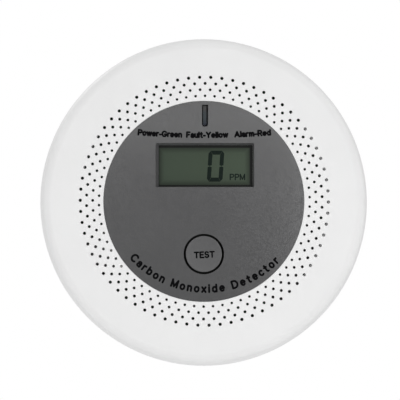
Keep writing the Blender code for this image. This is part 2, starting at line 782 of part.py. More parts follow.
def board_parts():
    for name, y, look in (
        ("led_green", 27.6 * MM, led_green), ("led_yellow", 25.5 * MM, led_yellow),
        ("led_red", 23.4 * MM, led_red),
    ):
        part(name, boxes(centred((1.6 * MM, 1.2 * MM), (SLOT_X, y), SEAT, 26.9 * MM)), look, alarm)
    micro = boxes(centred((7.0 * MM, 7.0 * MM), (-10.0 * MM, -27.5 * MM), SEAT, 27.1 * MM))
    part("microcontroller", micro, black_plastic, alarm)
    driver = boxes(centred((4.0 * MM, 5.0 * MM), (25.5 * MM, 5.0 * MM), SEAT, 27.3 * MM))
    part("sounder_driver", driver, black_plastic, alarm)
    crystal = turned(drum(1.5 * MM, 0, 6.0 * MM), 16)
    crystal.transform(Matrix.Rotation(-math.pi / 2, 4, "X"))
    crystal.transform(Matrix.Translation((-26.0 * MM, 3.0 * MM, SEAT + 1.5 * MM)))
    part("quartz_crystal", crystal, steel, alarm)
    can = [
        (0, BOARD_BACK - GAP), (4.0 * MM, BOARD_BACK - GAP), (4.0 * MM, 22.2 * MM), (3.7 * MM, 21.8 * MM),
        (4.0 * MM, 21.4 * MM), (4.0 * MM, 13.4 * MM), (3.6 * MM, 13.0 * MM), (0, 13.0 * MM),
    ]
    part("capacitor", turned(can, 14, (-6.0 * MM, 30.0 * MM)), dark_sleeve, alarm)
    coil = [
        (0, BOARD_BACK - GAP), (4.2 * MM, BOARD_BACK - GAP), (4.2 * MM, 22.6 * MM), (3.4 * MM, 22.3 * MM),
        (3.4 * MM, 18.0 * MM), (4.2 * MM, 17.7 * MM), (4.2 * MM, 16.6 * MM), (0, 16.6 * MM),
    ]
    part("boost_coil", turned(coil, 14, (7.0 * MM, 30.0 * MM)), ferrite, alarm)


# ---------------------------------------------------------------- leads and screws


def smooth_route(points, count):
    """Points on a Catmull-Rom curve through a short list of route points."""
    vectors = [Vector(p) for p in points]
    vectors = [2 * vectors[0] - vectors[1], *vectors, 2 * vectors[-1] - vectors[-2]]
    spans = len(vectors) - 3
    route = []
    for i in range(count):
        t = i / (count - 1) * spans
        k = min(int(t), spans - 1)
        u = t - k
        a, b, c, d = vectors[k : k + 4]
        square = (2 * a - 5 * b + 4 * c - d) * u ** 2
        cube = (3 * b - a - 3 * c + d) * u ** 3
        route.append((2 * b + (c - a) * u + square + cube) / 2)
    return route


def lead(name, look, route, count=9):
    points = smooth_route([[v * MM for v in p] for p in route], count)
    part(name, wire(points, 0.55 * MM), look, alarm, 60)


def leads():
    """Routes in millimetres, from the solder tabs to the board and from the sounder to the board."""
    for name, look, side in (
        ("battery_lead_red", red_sleeve, 1), ("battery_lead_black", dark_sleeve, -1),
    ):
        lead(name, look, [
            (31.2 * side, 14.6 * side, 19.5), (32.0 * side, 13.0 * side, 21.0),
            (33.5 * side, 9.5 * side, 21.8), (34.5 * side, 7.5 * side, 23.2),
        ])
    for name, look, dx in (
        ("sounder_lead_red", red_sleeve, 2.2), ("sounder_lead_black", dark_sleeve, -2.2),
    ):
        lead(name, look, [
            (22.0 + dx, -2.7, 26.5), (22.0 + dx, -1.6, 28.2),
            (22.0 + 0.6 * dx, 0.0, 28.0), (22.0 + 0.5 * dx, 1.0, 26.5),
        ], 8)


def screw_mesh(head_radius, shank_radius, head_back, head_front, tip, centre):
    profile = [
        (0, tip), (shank_radius * 0.4, tip), (shank_radius, tip - 1.2 * MM), (shank_radius, head_front),
        (head_radius, head_front), (head_radius, head_back + 0.3 * MM), (head_radius - 0.5 * MM, head_back),
        (0, head_back),
    ]
    return turned(profile, 12, centre)


def screws():
    for i, place in enumerate(case_screws()):
        mesh = screw_mesh(2.5 * MM, 1.1 * MM, 4.1 * MM, 5.7 * MM, 16 * MM, place)
        part(f"case_screw_{i + 1}", mesh, steel, alarm)
    for i, place in enumerate(board_screws()):
        mesh = screw_mesh(2.2 * MM, 1.0 * MM, 22.3 * MM, BOARD_BACK - GAP, 31 * MM, place)
        part(f"board_screw_{i + 1}", mesh, steel, alarm)


# ---------------------------------------------------------------- build

clear_scene()
parts = new_collection("carbon_monoxide_detector")
helpers = new_collection("cutters_and_helpers")

white_plastic = material("white_plastic", (0.80, 0.80, 0.80), 0.45)
grey_plastic = material("grey_plastic", (0.11, 0.11, 0.112), 0.42)
black_plastic = material("black_plastic", (0.02, 0.02, 0.02), 0.5)
glass = material("lcd_glass", (0.055, 0.075, 0.055), 0.12)
smoke = material("smoke_acrylic", (0.05, 0.055, 0.06), 0.15, alpha=0.8)
steel = material("nickel_steel", (0.62, 0.61, 0.58), 0.3, 1.0)
brass = material("brass", (0.75, 0.55, 0.22), 0.35, 1.0)
ferrite = material("ferrite", (0.05, 0.05, 0.055), 0.6)
rubber = material("zebra_rubber", (0.25, 0.25, 0.27), 0.7)
board_green = material("board_green", (0.02, 0.12, 0.05), 0.4)
cell_jacket = material("cell_jacket", (0.05, 0.06, 0.09), 0.3)
red_sleeve = material("red_sleeve", (0.55, 0.02, 0.02), 0.4)
dark_sleeve = material("dark_sleeve", (0.02, 0.02, 0.025), 0.4)
led_green = material("led_green", (0.1, 0.5, 0.15), 0.2)
led_yellow = material("led_yellow", (0.7, 0.5, 0.05), 0.2)
led_red = material("led_red", (0.6, 0.05, 0.04), 0.2)

wall_frame = empty("wall_frame", rotation=(math.pi / 2, 0, 0))
alarm = empty("twist_axis", wall_frame)
door_hinge = empty("door_hinge", alarm, (0, HINGE_Y, HINGE_DEPTH))
button_axis = empty("button_axis", alarm, (0, BUTTON_Y, 0))

mounting_bracket()
rear_housing()
battery_door()
batteries_and_contacts()
front_cover()
faceplate()
light_pipe()
display()
test_button()
main_pcb()
gas_sensor()
sounder()
board_parts()
leads()
screws()
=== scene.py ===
from math import acos, atan2, copysign, cos, hypot, pi, radians, sin, tan

import bmesh
import bpy
from mathutils import Matrix, Vector

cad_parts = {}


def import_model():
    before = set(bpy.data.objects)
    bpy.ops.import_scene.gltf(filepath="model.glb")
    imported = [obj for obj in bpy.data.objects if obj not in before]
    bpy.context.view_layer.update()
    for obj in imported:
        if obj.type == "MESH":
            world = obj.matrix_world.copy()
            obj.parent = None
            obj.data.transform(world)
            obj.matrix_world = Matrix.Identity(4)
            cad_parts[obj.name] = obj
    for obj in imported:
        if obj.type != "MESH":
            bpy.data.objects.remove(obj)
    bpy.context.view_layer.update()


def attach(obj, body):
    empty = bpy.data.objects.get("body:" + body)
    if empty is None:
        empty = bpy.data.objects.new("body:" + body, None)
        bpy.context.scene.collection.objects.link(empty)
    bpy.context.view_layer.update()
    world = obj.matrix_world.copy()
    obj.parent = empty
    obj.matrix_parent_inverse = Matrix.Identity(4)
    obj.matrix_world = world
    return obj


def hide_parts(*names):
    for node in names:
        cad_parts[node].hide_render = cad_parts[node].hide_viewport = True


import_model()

# Every piece is drawn as it is seen from the front, in millimetres: x to the right, y up, and z, the
# depth, straight out of the wall. UPRIGHT turns that drawing into the frame's world, in metres.
MM = 0.001
UPRIGHT = Matrix.Rotation(pi / 2, 4, "X") @ Matrix.Scale(MM, 4)


# ---- Mesh makers


def link(obj):
    bpy.context.scene.collection.objects.link(obj)
    return obj


def gathered(meshes):
    shape = bmesh.new()
    for mesh in meshes:
        shape.from_mesh(mesh)
    return shape


def finished(shape):
    mesh = bpy.data.meshes.new("shape")
    shape.to_mesh(mesh)
    shape.free()
    return mesh


def joined(*meshes):
    """One mesh from several separate closed bodies."""
    return finished(gathered(meshes))


def welded(*meshes):
    """One mesh from several, their touching edges sewn together."""
    shape = gathered(meshes)
    bmesh.ops.remove_doubles(shape, verts=shape.verts, dist=1e-4)
    bmesh.ops.recalc_face_normals(shape, faces=shape.faces)
    return finished(shape)


def evaluated(obj):
    """The mesh that an object's modifiers or curve make. The object is removed."""
    bpy.context.view_layer.update()
    graph = bpy.context.evaluated_depsgraph_get()
    mesh = bpy.data.meshes.new_from_object(obj.evaluated_get(graph))
    bpy.data.objects.remove(obj, do_unlink=True)
    return mesh


def moved(mesh, *steps):
    for step in steps:
        mesh.transform(step)
    return mesh


def shift(x=0.0, y=0.0, z=0.0):
    return Matrix.Translation((x, y, z))


def spin(angle, axis="Z"):
    return Matrix.Rotation(angle, 4, axis)


def boolean(base, others, operation):
    target = link(bpy.data.objects.new("base", base))
    helper = link(bpy.data.objects.new("other", joined(*others)))
    modifier = target.modifiers.new("boolean", "BOOLEAN")
    modifier.operation = operation
    modifier.object = helper
    modifier.solver = "EXACT"
    mesh = evaluated(target)
    bpy.data.objects.remove(helper, do_unlink=True)
    return mesh


def cut(base, *others):
    return boolean(base, others, "DIFFERENCE")


def union(base, *others):
    return boolean(base, others, "UNION")


def bevelled(mesh, width, segments=2, angle=30):
    target = link(bpy.data.objects.new("bevel", mesh))
    bevel = target.modifiers.new("bevel", "BEVEL")
    bevel.width = width
    bevel.segments = segments
    bevel.limit_method = "ANGLE"
    bevel.angle_limit = radians(angle)
    return evaluated(target)


def revolved(profile, steps, centre=(0, 0), turn=0.0, closed=None):
    """A solid of revolution about z from (radius, depth) points. Points on the axis become poles."""
    if closed is None:
        closed = profile[0][0] > 0 and profile[-1][0] > 0
    points, rings = [], []
    for radius, z in profile:
        if radius == 0:
            rings.append([len(points)] * steps)
            points.append((*centre, z))
            continue
        rings.append(list(range(len(points), len(points) + steps)))
        around = [polar(radius, turn + 2 * pi * i / steps, centre) for i in range(steps)]
        points += at_depth(around, z)
    pairs = list(zip(rings, rings[1:]))
    if closed:
        pairs.append((rings[-1], rings[0]))
    faces = []
    for upper, lower in pairs:
        for i in range(steps):
            j = (i + 1) % steps
            corners = [upper[i], lower[i], lower[j], upper[j]]
            faces.append(list(dict.fromkeys(corners)))
    mesh = bpy.data.meshes.new("turned")
    mesh.from_pydata(points, [], faces)
    return mesh


def turned(corners, steps, centre=(0, 0), segments=4, turn=0.0):
    """A solid of revolution whose profile has (radius, depth) or (radius, depth, rounding) corners."""
    return revolved(rounded(corners, segments), steps, centre, turn)


def drum(radius, back, front, place=(0, 0), steps=32):
    return revolved([(0, front), (radius, front), (radius, back), (0, back)], steps, place)


def rod(radius, low_x, high_x, y, depth, steps=32):
    return moved(drum(radius, low_x, high_x, steps=steps), spin(pi / 2, "Y"), shift(0, y, depth))


def traced(lines, cyclic, **settings):
    """The mesh of a curve through lists of (x, y, z) points."""
    curve = bpy.data.curves.new("line", "CURVE")
    for key, value in settings.items():
        setattr(curve, key, value)
    for points in lines:
        spline = curve.splines.new("POLY")
        spline.points.add(len(points) - 1)
        for target, point in zip(spline.points, points):
            target.co = (*point, 1)
        spline.use_cyclic_u = cyclic
    return evaluated(link(bpy.data.objects.new("line", curve)))


def tube(points, radius, sides=12):
    """A round wire along points, with flat ends."""
    return welded(traced(
        [points], False, dimensions="3D", bevel_depth=radius, bevel_resolution=sides // 4, use_fill_caps=True,
    ))


def sheet_of(outlines, depth, thickness=0.0):
    """Flat faces from closed outlines, one inside another being a hole, with rims ready to be sewn."""
    flat = [at_depth(points, 0) for points in outlines]
    mesh = traced(flat, True, dimensions="2D", fill_mode="BOTH", extrude=thickness / 2)
    return moved(mesh, shift(z=depth))


def outlined(outlines, back, front):
    """A closed flat plate between two depths."""
    return welded(sheet_of(outlines, (front + back) / 2, front - back))


def washer(outer, inner, back, front, place=(0, 0), steps=32):
    return outlined([circle(outer, steps, place), circle(inner, steps, place)], back, front)


def lofted(*rings):
    """Walls between rings of (x, y, z) points with equal counts."""
    shape = bmesh.new()
    made = [[shape.verts.new(point) for point in ring] for ring in rings]
    for lower, upper in zip(made, made[1:]):
        for i in range(len(lower)):
            j = (i + 1) % len(lower)
            shape.faces.new((lower[i], lower[j], upper[j], upper[i]))
    return finished(shape)


def boxes(*corners):
    shape = bmesh.new()
    for low, high in corners:
        low, high = Vector(low), Vector(high)
        place = Matrix.Translation((low + high) / 2) @ Matrix.Diagonal((*(high - low), 1))
        bmesh.ops.create_cube(shape, size=1.0, matrix=place)
    return finished(shape)


def block(size, centre, back, front):
    (width, height), (x, y) = size, centre
    return boxes(((x - width / 2, y - height / 2, back), (x + width / 2, y + height / 2, front)))


# ---- Outlines


def polar(radius, angle, centre=(0, 0)):
    return (centre[0] + radius * cos(angle), centre[1] + radius * sin(angle))


def spokes(radius, degrees, centre=(0, 0)):
    """Places round a centre, one for each angle in degrees."""
    return [polar(radius, radians(a), centre) for a in degrees]


def off_axis(point, centre):
    return hypot(point.x - centre[0], point.y - centre[1])


def arc(centre, radius, start, end, count):
    return [polar(radius, start + (end - start) * i / (count - 1), centre) for i in range(count)]


def circle(radius, count, centre=(0, 0), turn=0.0):
    return arc(centre, radius, turn, turn + 2 * pi * (count - 1) / count, count)


def at_depth(outline, depth):
    return [(x, y, depth) for x, y in outline]


def rounded(points, segments=4):
    """Points (x, y) or (x, y, radius): each corner with a radius becomes an arc."""
    result = []
    for i, point in enumerate(points):
        corner = Vector(point[:2])
        if len(point) < 3:
            result.append(tuple(corner))
            continue
        radius = point[2]
        before = (Vector(points[i - 1][:2]) - corner).normalized()
        after = (Vector(points[(i + 1) % len(points)][:2]) - corner).normalized()
        half = before.angle(after) / 2
        reach = radius / tan(half)
        middle = corner + (before + after).normalized() * (radius / sin(half))
        start = corner + before * reach - middle
        turn = start.angle_signed(corner + after * reach - middle)
        for k in range(segments + 1):
            step = Matrix.Rotation(-turn * k / segments, 2)
            result.append(tuple(middle + step @ start))
    return result


def rounded_box(width, height, radius, centre, count=6):
    x, y = width / 2, height / 2
    corners = [(x, y, radius), (-x, y, radius), (-x, -y, radius), (x, -y, radius)]
    return [(centre[0] + px, centre[1] + py) for px, py in rounded(corners, count)]


def slab(size, radius, centre, back, front):
    """A flat plate with round corners."""
    return outlined([rounded_box(*size, radius, centre)], back, front)


def ring_slot(radius, half_width, start, end):
    """A slot that follows a circle, with round ends."""
    return (
        arc((0, 0), radius + half_width, start, end, 16)
        + arc(polar(radius, end), half_width, end, end + pi, 11)[1:-1]
        + arc((0, 0), radius - half_width, end, start, 16)
        + arc(polar(radius, start), half_width, start + pi, start + 2 * pi, 11)[1:-1]
    )


def ring_sector(inner, outer, start, end):
    return arc((0, 0), outer, start, end, 24) + arc((0, 0), inner, end, start, 24)


# ---- Materials


def linear(red, green, blue):
    """A colour given as 0-255 screen values, as the shader wants it."""
    def one(value):
        value /= 255
        return value / 12.92 if value <= 0.04045 else ((value + 0.055) / 1.055) ** 2.4
    return (one(red), one(green), one(blue))


def scaled(colour, factor):
    return tuple(channel * factor for channel in colour)


class Nodes:
    """Short ways to fill a node tree. In a socket's name an underscore stands for a space."""

    def __init__(self, tree):
        self.tree = tree

    def put(self, value, socket):
        """Links an output to a socket, or sets the socket to a plain value."""
        if isinstance(value, bpy.types.NodeSocket):
            self.tree.links.new(value, socket)
        else:
            socket.default_value = value

    def feed(self, node, **inputs):
        for name, value in inputs.items():
            self.put(value, node.inputs[name.replace("_", " ")])

    def node(self, kind, output, settings=(), **inputs):
        """Adds a node with (name, value) settings, and returns one of its outputs."""
        node = self.tree.nodes.new(f"ShaderNode{kind}")
        for key, value in settings:
            setattr(node, key, value)
        self.feed(node, **inputs)
        return node.outputs[output]

    def axis(self, name, vector):
        return self.node("SeparateXYZ", name, Vector=vector)

    def spread(self, value, low, high, start=0.35, end=0.65):
        return self.node(
            "MapRange", "Result", Value=value, From_Min=start, From_Max=end, To_Min=low, To_Max=high,
        )

    def ramp(self, value, *stops):
        output = self.node("ValToRGB", "Color", Fac=value)
        elements = output.node.color_ramp.elements
        while len(elements) < len(stops):
            elements.new(0.5)
        for element, (place, colour) in zip(elements, stops):
            element.position = place
            element.color = (*colour, 1.0)
        return output

    def math(self, operation, *values):
        output = self.node("Math", "Value", [("operation", operation)])
        for value, socket in zip(values, output.node.inputs):
            self.put(value, socket)
        return output

    def times(self, colour, factor):
        """A colour output times a plain factor."""
        settings = [("data_type", "RGBA"), ("blend_type", "MULTIPLY")]
        return self.node("Mix", "Result", settings, Factor=1.0, A=colour, B=factor)


class Look(Nodes):
    """A Principled material whose patterns follow the piece's own coordinates."""

    def __init__(self, name, roughness, metallic=0.0, **sockets):
        self.material = bpy.data.materials.new(name)
        self.material.use_nodes = True
        super().__init__(self.material.node_tree)
        self.coords = self.node("TexCoord", "Object")
        self.shade(Roughness=roughness, Metallic=metallic, **sockets)

    def shade(self, **inputs):
        self.feed(self.tree.nodes["Principled BSDF"], **inputs)

    def noise(self, scale, detail, rough=0.5, coords=None):
        coords = coords or self.coords
        return self.node("TexNoise", "Fac", Scale=scale, Detail=detail, Roughness=rough, Vector=coords)

    def mottle(self, scale, detail, dark, light):
        """Soft blotches between two colours."""
        self.shade(Base_Color=self.ramp(self.noise(scale, detail), (0.3, dark), (0.7, light)))

    def bump(self, height, strength, distance):
        self.shade(Normal=self.node("Bump", "Normal", Strength=strength, Distance=distance, Height=height))

    def beyond(self, axis, centre, half):
        """How far a point lies outside a span about centre, along one axis: negative inside."""
        from_centre = self.math("SUBTRACT", self.axis(axis, self.coords), centre)
        return self.math("SUBTRACT", self.math("ABSOLUTE", from_centre), half)


def moulded(name, colour, roughness, grain=2600, depth=0.00002, *, mottle, **sockets):
    """Injection moulded plastic: spark-eroded grain, faint flow mottling, uneven gloss."""
    look = Look(name, roughness, **sockets)
    look.mottle(70, 4, scaled(colour, 1 - mottle), scaled(colour, 1 + mottle))
    fine = look.noise(grain, 2, 0.6)
    look.shade(Roughness=look.spread(fine, roughness - 0.05, roughness + 0.05))
    look.bump(fine, 0.25, depth)
    return look.material


def metal(name, colour, roughness):
    """Plated sheet or wire: fine drawn streaks and cloudy tarnish."""
    look = Look(name, roughness, 1.0)
    look.mottle(350, 5, scaled(colour, 0.86), colour)
    lengthwise = look.node("Mapping", "Vector", Vector=look.coords, Scale=(0.15, 1.0, 1.0))
    streak = look.noise(1800, 3, 0.6, lengthwise)
    look.shade(Roughness=look.spread(streak, roughness - 0.08, roughness + 0.1))
    look.bump(streak, 0.15, 0.00001)
    return look.material


WHITE = (0.74, 0.74, 0.74)
GREY = (0.0565, 0.0565, 0.058)
SATIN = {"grain": 3200, "depth": 0.000008}

white_plastic = moulded("white_abs", WHITE, 0.48, mottle=0.012)
inner_white = moulded("white_abs_inside", scaled(WHITE, 0.97), 0.6, grain=1500, mottle=0.02)
grey_plastic = moulded("grey_satin_abs", GREY, 0.17, mottle=0.07, **SATIN)
# The button's grey is a tenth lighter than the panel's: painted light for the cap's brighter look.
button_grey_painted_light = moulded("grey_satin_button", scaled(GREY, 1.1), 0.22, mottle=0.05, **SATIN)
black_plastic = moulded("black_plastic", (0.018, 0.018, 0.019), 0.5, mottle=0.2)
# A matt black that stands as painted shade in gaps: on the walls round the button and the slot, and round the
# display's film.
gap_shade_black = moulded("gap_shade_black", (0.008, 0.009, 0.008), 0.5, 5000, mottle=0.1, Specular_IOR_Level=0.1)
ink = moulded("printed_ink", (0.003, 0.003, 0.0035), 0.6, 5000, mottle=0.1, Specular_IOR_Level=0.02)
nickel = metal("nickel_plate", (0.66, 0.65, 0.61), 0.28)


def piece(name, mesh, looks, node=None, body="alarm", sharp=32, paint=None):
    """A finished piece in the world, riding a body. paint(face centre) picks among several looks."""
    mesh.materials.clear()
    for look in looks if isinstance(looks, list) else [looks]:
        mesh.materials.append(look)
    for face in mesh.polygons:
        face.material_index = paint(face.center) if paint else 0
    mesh.transform(UPRIGHT)
    mesh.shade_smooth()
    mesh.set_sharp_from_angle(angle=radians(sharp))
    for face in mesh.polygons:
        if max(abs(axis) for axis in face.normal) > 0.99999:
            face.use_smooth = False
    mesh.name = name
    result = link(bpy.data.objects.new(name, mesh))
    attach(result, body)
    if node:
        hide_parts(node)


# ---- Front cover

FACE = 38.0
SPLIT = 12.2
SHELL_STEPS = 210
SHELL_TURN = radians(90.9)
FACE_RADIUS, SHOULDER = 45.3, 2.8
FLOOR_FRONT, FLOOR_BACK, FLOOR_RIM = 36.2, 35.0, 29.4
PLATE_RADIUS = 29.8
VENT_BACK, VENT_INNER, VENT_OUTER = 35.8, 30.55, 44.6
VENTS_PER_RING = 70
VENT_RADII = (0.40, 0.43, 0.46, 0.49)
FIRST_VENT_RADIUS, VENT_RADIUS_STEP, FIRST_VENT_ANGLE = 31.3, 1.85, 89.6
VENT_OFFSET = (0.15, 0.05)
LCD_CENTRE = (0.0, 10.55)
BUTTON = (0.0, -15.65)
SLOT_X, SLOT_LOW, SLOT_HIGH, SLOT_WIDTH = 0.35, 22.14, 28.68, 1.82
SCREW_RADIUS, POST_RADIUS = 42.5, 38.5
CASE_SCREWS = spokes(SCREW_RADIUS, (60, 120, 240, 300))
BOARD_SCREWS = spokes(POST_RADIUS, (0, 155, 270))
SEAT = 25.9


def vent_places():
    """Place and hole radius of every vent, ring by ring, each ring half a pitch from the last."""
    pitch = 2 * pi / VENTS_PER_RING
    for ring, hole_radius in enumerate(VENT_RADII):
        phase = radians(FIRST_VENT_ANGLE) + (ring % 2) * pitch / 2
        for i in range(VENTS_PER_RING):
            place = polar(FIRST_VENT_RADIUS + VENT_RADIUS_STEP * ring, phase + i * pitch, VENT_OFFSET)
            yield place, hole_radius


def slot_outline(inset=0.0):
    """The light pipe's slot, square at the top and round at the bottom."""
    half = SLOT_WIDTH / 2 - inset
    left, right, top = SLOT_X - half, SLOT_X + half, SLOT_HIGH - inset
    low = SLOT_LOW + SLOT_WIDTH / 2
    square_end = rounded([(right, top, 0.12), (left, top, 0.12), (left, low), (right, low)], 3)[:8]
    return square_end + arc((SLOT_X, low), half, pi, 2 * pi, 17)


def tubular(places, outer, inner, back):
    """Bosses: each a pillar with a blind hole from the back."""
    front = FLOOR_FRONT
    profile = [
        (0, front), (outer, front), (outer, back + 0.3), (outer - 0.3, back), (inner, back),
        (inner, front - 4), (0, front - 4.3),
    ]
    return [revolved(profile, 28, place) for place in places]


def cover_shell():
    """The face with its vents, the shoulder and side, and the floor that the faceplate lies on."""
    pocket = PLATE_RADIUS + 0.03
    front_chain = [
        (FLOOR_RIM, FLOOR_FRONT), (pocket - 0.15, FLOOR_FRONT), (pocket, FLOOR_FRONT + 0.15),
        (pocket, FACE - 0.12), (pocket + 0.04, FACE - 0.04), (pocket + 0.12, FACE),
        (VENT_INNER - 0.15, FACE), (VENT_INNER, FACE),
    ]
    back_chain = [(VENT_INNER, VENT_BACK), (30.4, 35.6), (30.4, FLOOR_BACK), (FLOOR_RIM, FLOOR_BACK)]
    shoulder = arc((FACE_RADIUS, FACE - SHOULDER), SHOULDER, radians(90), radians(4.1), 15)
    side_chain = rounded([
        (VENT_OUTER, FACE), (FACE_RADIUS - 0.3, FACE), *shoulder, (49.75, SPLIT, 0.35), (47.5, SPLIT),
        (45.75, 34.6, 0.8), (45.1, VENT_BACK, 0.5), (VENT_OUTER, VENT_BACK),
    ])
    chains = [
        revolved(chain, SHELL_STEPS, turn=SHELL_TURN, closed=False)
        for chain in (front_chain, back_chain, side_chain)
    ]
    holes = [circle(radius, 14, place) for place, radius in vent_places()]
    windows = [rounded_box(31.0, 17.2, 0.4, LCD_CENTRE, 3), slot_outline(-0.1), circle(6.5, 72, BUTTON)]
    inner_rim, outer_rim, floor_rim = [
        circle(radius, SHELL_STEPS, turn=SHELL_TURN) for radius in (VENT_INNER, VENT_OUTER, FLOOR_RIM)
    ]
    sheets = [sheet_of([inner_rim, outer_rim, *holes], depth) for depth in (FACE, VENT_BACK)]
    sheets += [sheet_of([floor_rim, *windows], depth) for depth in (FLOOR_FRONT, FLOOR_BACK)]
    walls = [lofted(at_depth(hole, VENT_BACK), at_depth(hole, FACE)) for hole in holes]
    walls += [lofted(at_depth(edge, FLOOR_BACK), at_depth(edge, FLOOR_FRONT)) for edge in windows]
    return welded(*chains, *sheets, *walls)


def supports():
    """Screw bosses, board posts stepped back behind the vents, and two low ribs at the outer vents."""
    relief = washer(37.5, 35.0, 32.8, 37.0, steps=180)
    posts = [cut(post, relief) for post in tubular(BOARD_SCREWS, 2.5, 1.3, SEAT)]
    ribs = [
        outlined([ring_sector(inner, 38.1, radians(start), radians(end))], 34.9, VENT_BACK + 0.06)
        for inner, start, end in ((36.91, -38.5, 36), (36.96, 145.5, 166))
    ]
    return [*tubular(CASE_SCREWS, 3.0, 1.4, 8.0), *posts, *ribs]


shell = cover_shell()
for support in supports():
    shell = union(shell, support)
piece("front_shell", shell, white_plastic, "front_cover")


# ---- Faceplate

PLATE_FACE, PLATE_BACK = 37.96, 36.5
PANEL_HOLE = 6.0


def face_panel():
    """A disc with a sloped bezel round the display, the light pipe's slot and the button's hole."""
    outer = rounded_box(29.3, 13.1, 0.35, (0.3, 10.78), 5)
    inner = rounded_box(27.8, 12.2, 0.3, (0.5, 10.55), 5)
    holes = [inner, slot_outline(), circle(PANEL_HOLE, 96, BUTTON)]
    plate = outlined([circle(PLATE_RADIUS, 180), *holes], PLATE_BACK, PLATE_FACE)
    low, high = PLATE_BACK + 0.25, PLATE_FACE + 1
    slope = welded(
        lofted(at_depth(inner, low), at_depth(outer, PLATE_FACE), at_depth(outer, high)),
        sheet_of([inner], low),
        sheet_of([outer], high),
    )
    return bevelled(cut(plate, slope), 0.09, 3)


def panel_gap_shade(centre):
    """The walls of the button's hole and of the light pipe's slot are matt, and drawn black as painted shade
    for the dark gaps round the button and the slot.
    """
    in_hole = off_axis(centre, BUTTON) < PANEL_HOLE + 0.1
    in_slot = centre.y > SLOT_LOW - 0.1 and abs(centre.x - SLOT_X) < 1.0
    return int(centre.z <= PLATE_FACE - 0.06 and (in_hole or in_slot))


piece("face_panel", face_panel(), [grey_plastic, gap_shade_black], "faceplate", paint=panel_gap_shade)


# ---- Lettering
#
# A plain rounded alphabet of pen strokes, drawn for capitals one unit high on a baseline at zero. A stroke
# is a list of points, and bow() bends part of an ellipse into one.

STROKE_STEP = 0.0015
INK_HEIGHT, INK_ROOT = 0.024, 0.01
WORD_SPACE = 0.45


def bow(x, y, across, up, start, end):
    """Points along an ellipse about (x, y), from one angle to the other, in degrees."""
    count = max(4, round(abs(end - start) / 20))
    angles = [radians(start + (end - start) * i / count) for i in range(count + 1)]
    return [(x + across * cos(a), y + up * sin(a)) for a in angles]


BASE, LOW_TOP, CAP_TOP = 0.07, 0.66, 0.93
STEM = [(0.09, BASE), (0.09, LOW_TOP)]
MAST = [(0.09, BASE), (0.09, CAP_TOP)]
ROUND = bow(0.32, 0.365, 0.24, 0.295, 0, 360)
BOWL = [
    (0.09, CAP_TOP), (0.42, CAP_TOP), *bow(0.42, 0.70, 0.24, 0.23, 80, -80), (0.42, 0.47), (0.09, 0.47),
]
GLYPHS = {
    "A": [[(0.05, BASE), (0.42, CAP_TOP), (0.79, BASE)], [(0.2, 0.34), (0.64, 0.34)]],
    "C": [bow(0.46, 0.5, 0.38, 0.43, 48, 312)],
    "D": [
        MAST,
        [(0.09, CAP_TOP), (0.34, CAP_TOP), *bow(0.34, 0.5, 0.41, 0.43, 80, -80), (0.34, BASE), (0.09, BASE)],
    ],
    "E": [MAST, *([(0.09, y), (x, y)] for x, y in ((0.6, CAP_TOP), (0.55, 0.51), (0.62, BASE)))],
    "F": [MAST, [(0.09, CAP_TOP), (0.58, CAP_TOP)], [(0.09, 0.5), (0.5, 0.5)]],
    "G": [[*bow(0.46, 0.5, 0.38, 0.43, 45, 330), (0.82, 0.42)], [(0.5, 0.44), (0.82, 0.44)]],
    "M": [MAST, [(0.09, CAP_TOP), (0.44, BASE + 0.06), (0.79, CAP_TOP)], [(0.79, BASE), (0.79, CAP_TOP)]],
    "P": [MAST, BOWL],
    "R": [MAST, BOWL, [(0.38, 0.47), (0.68, BASE)]],
    "S": [[*bow(0.35, 0.71, 0.25, 0.22, 25, 250), *bow(0.35, 0.29, 0.27, 0.22, 70, -155)]],
    "T": [[(0.05, CAP_TOP), (0.67, CAP_TOP)], [(0.36, BASE), (0.36, CAP_TOP)]],
    "Y": [[(0.05, CAP_TOP), (0.38, 0.48), (0.71, CAP_TOP)], [(0.38, BASE), (0.38, 0.48)]],
    "a": [[*bow(0.27, 0.45, 0.2, 0.21, 155, 0), (0.47, BASE)], bow(0.27, 0.23, 0.2, 0.165, 0, 360)],
    "b": [MAST, ROUND],
    "c": [bow(0.32, 0.365, 0.24, 0.295, 48, 312)],
    "d": [[(0.65 - x, y) for x, y in stroke] for stroke in (MAST, ROUND)],
    "e": [[(0.1, 0.38), *bow(0.32, 0.365, 0.24, 0.295, 3, 310)]],
    "i": [STEM, [(0.09, 0.89), (0.09, 0.93)]],
    "l": [MAST],
    "m": [STEM, *([*bow(x, 0.46, 0.18, 0.2, 180, 0), (x + 0.18, BASE)] for x in (0.27, 0.63))],
    "n": [STEM, [*bow(0.3, 0.44, 0.21, 0.22, 180, 0), (0.51, BASE)]],
    "o": [ROUND],
    "r": [STEM, bow(0.31, 0.42, 0.22, 0.24, 180, 80)],
    "t": [
        [(0.19, 0.88), (0.19, 0.22), *bow(0.33, 0.21, 0.14, 0.14, 190, 280)],
        [(0.05, LOW_TOP), (0.35, LOW_TOP)],
    ],
    "u": [
        [(0.09, LOW_TOP), *bow(0.3, 0.29, 0.21, 0.22, 180, 360), (0.51, LOW_TOP)],
        [(0.51, BASE), (0.51, 0.3)],
    ],
    "w": [[(0.05, LOW_TOP), (0.23, BASE), (0.41, LOW_TOP), (0.59, BASE), (0.77, LOW_TOP)]],
    "x": [[(0.06, BASE), (0.48, LOW_TOP)], [(0.06, LOW_TOP), (0.48, BASE)]],
    "-": [[(0.07, 0.35), (0.3, 0.35)]],
}


def unfolded(stroke):
    """A pen stroke cut where it turns back sharply, so that each part keeps its full width."""
    parts = [[stroke[0]]]
    for before, here, after in zip(stroke, stroke[1:], stroke[2:]):
        parts[-1].append(here)
        if (Vector(here) - Vector(before)).dot(Vector(after) - Vector(here)) < -1e-9:
            parts.append([here])
    parts[-1].append(stroke[-1])
    return parts


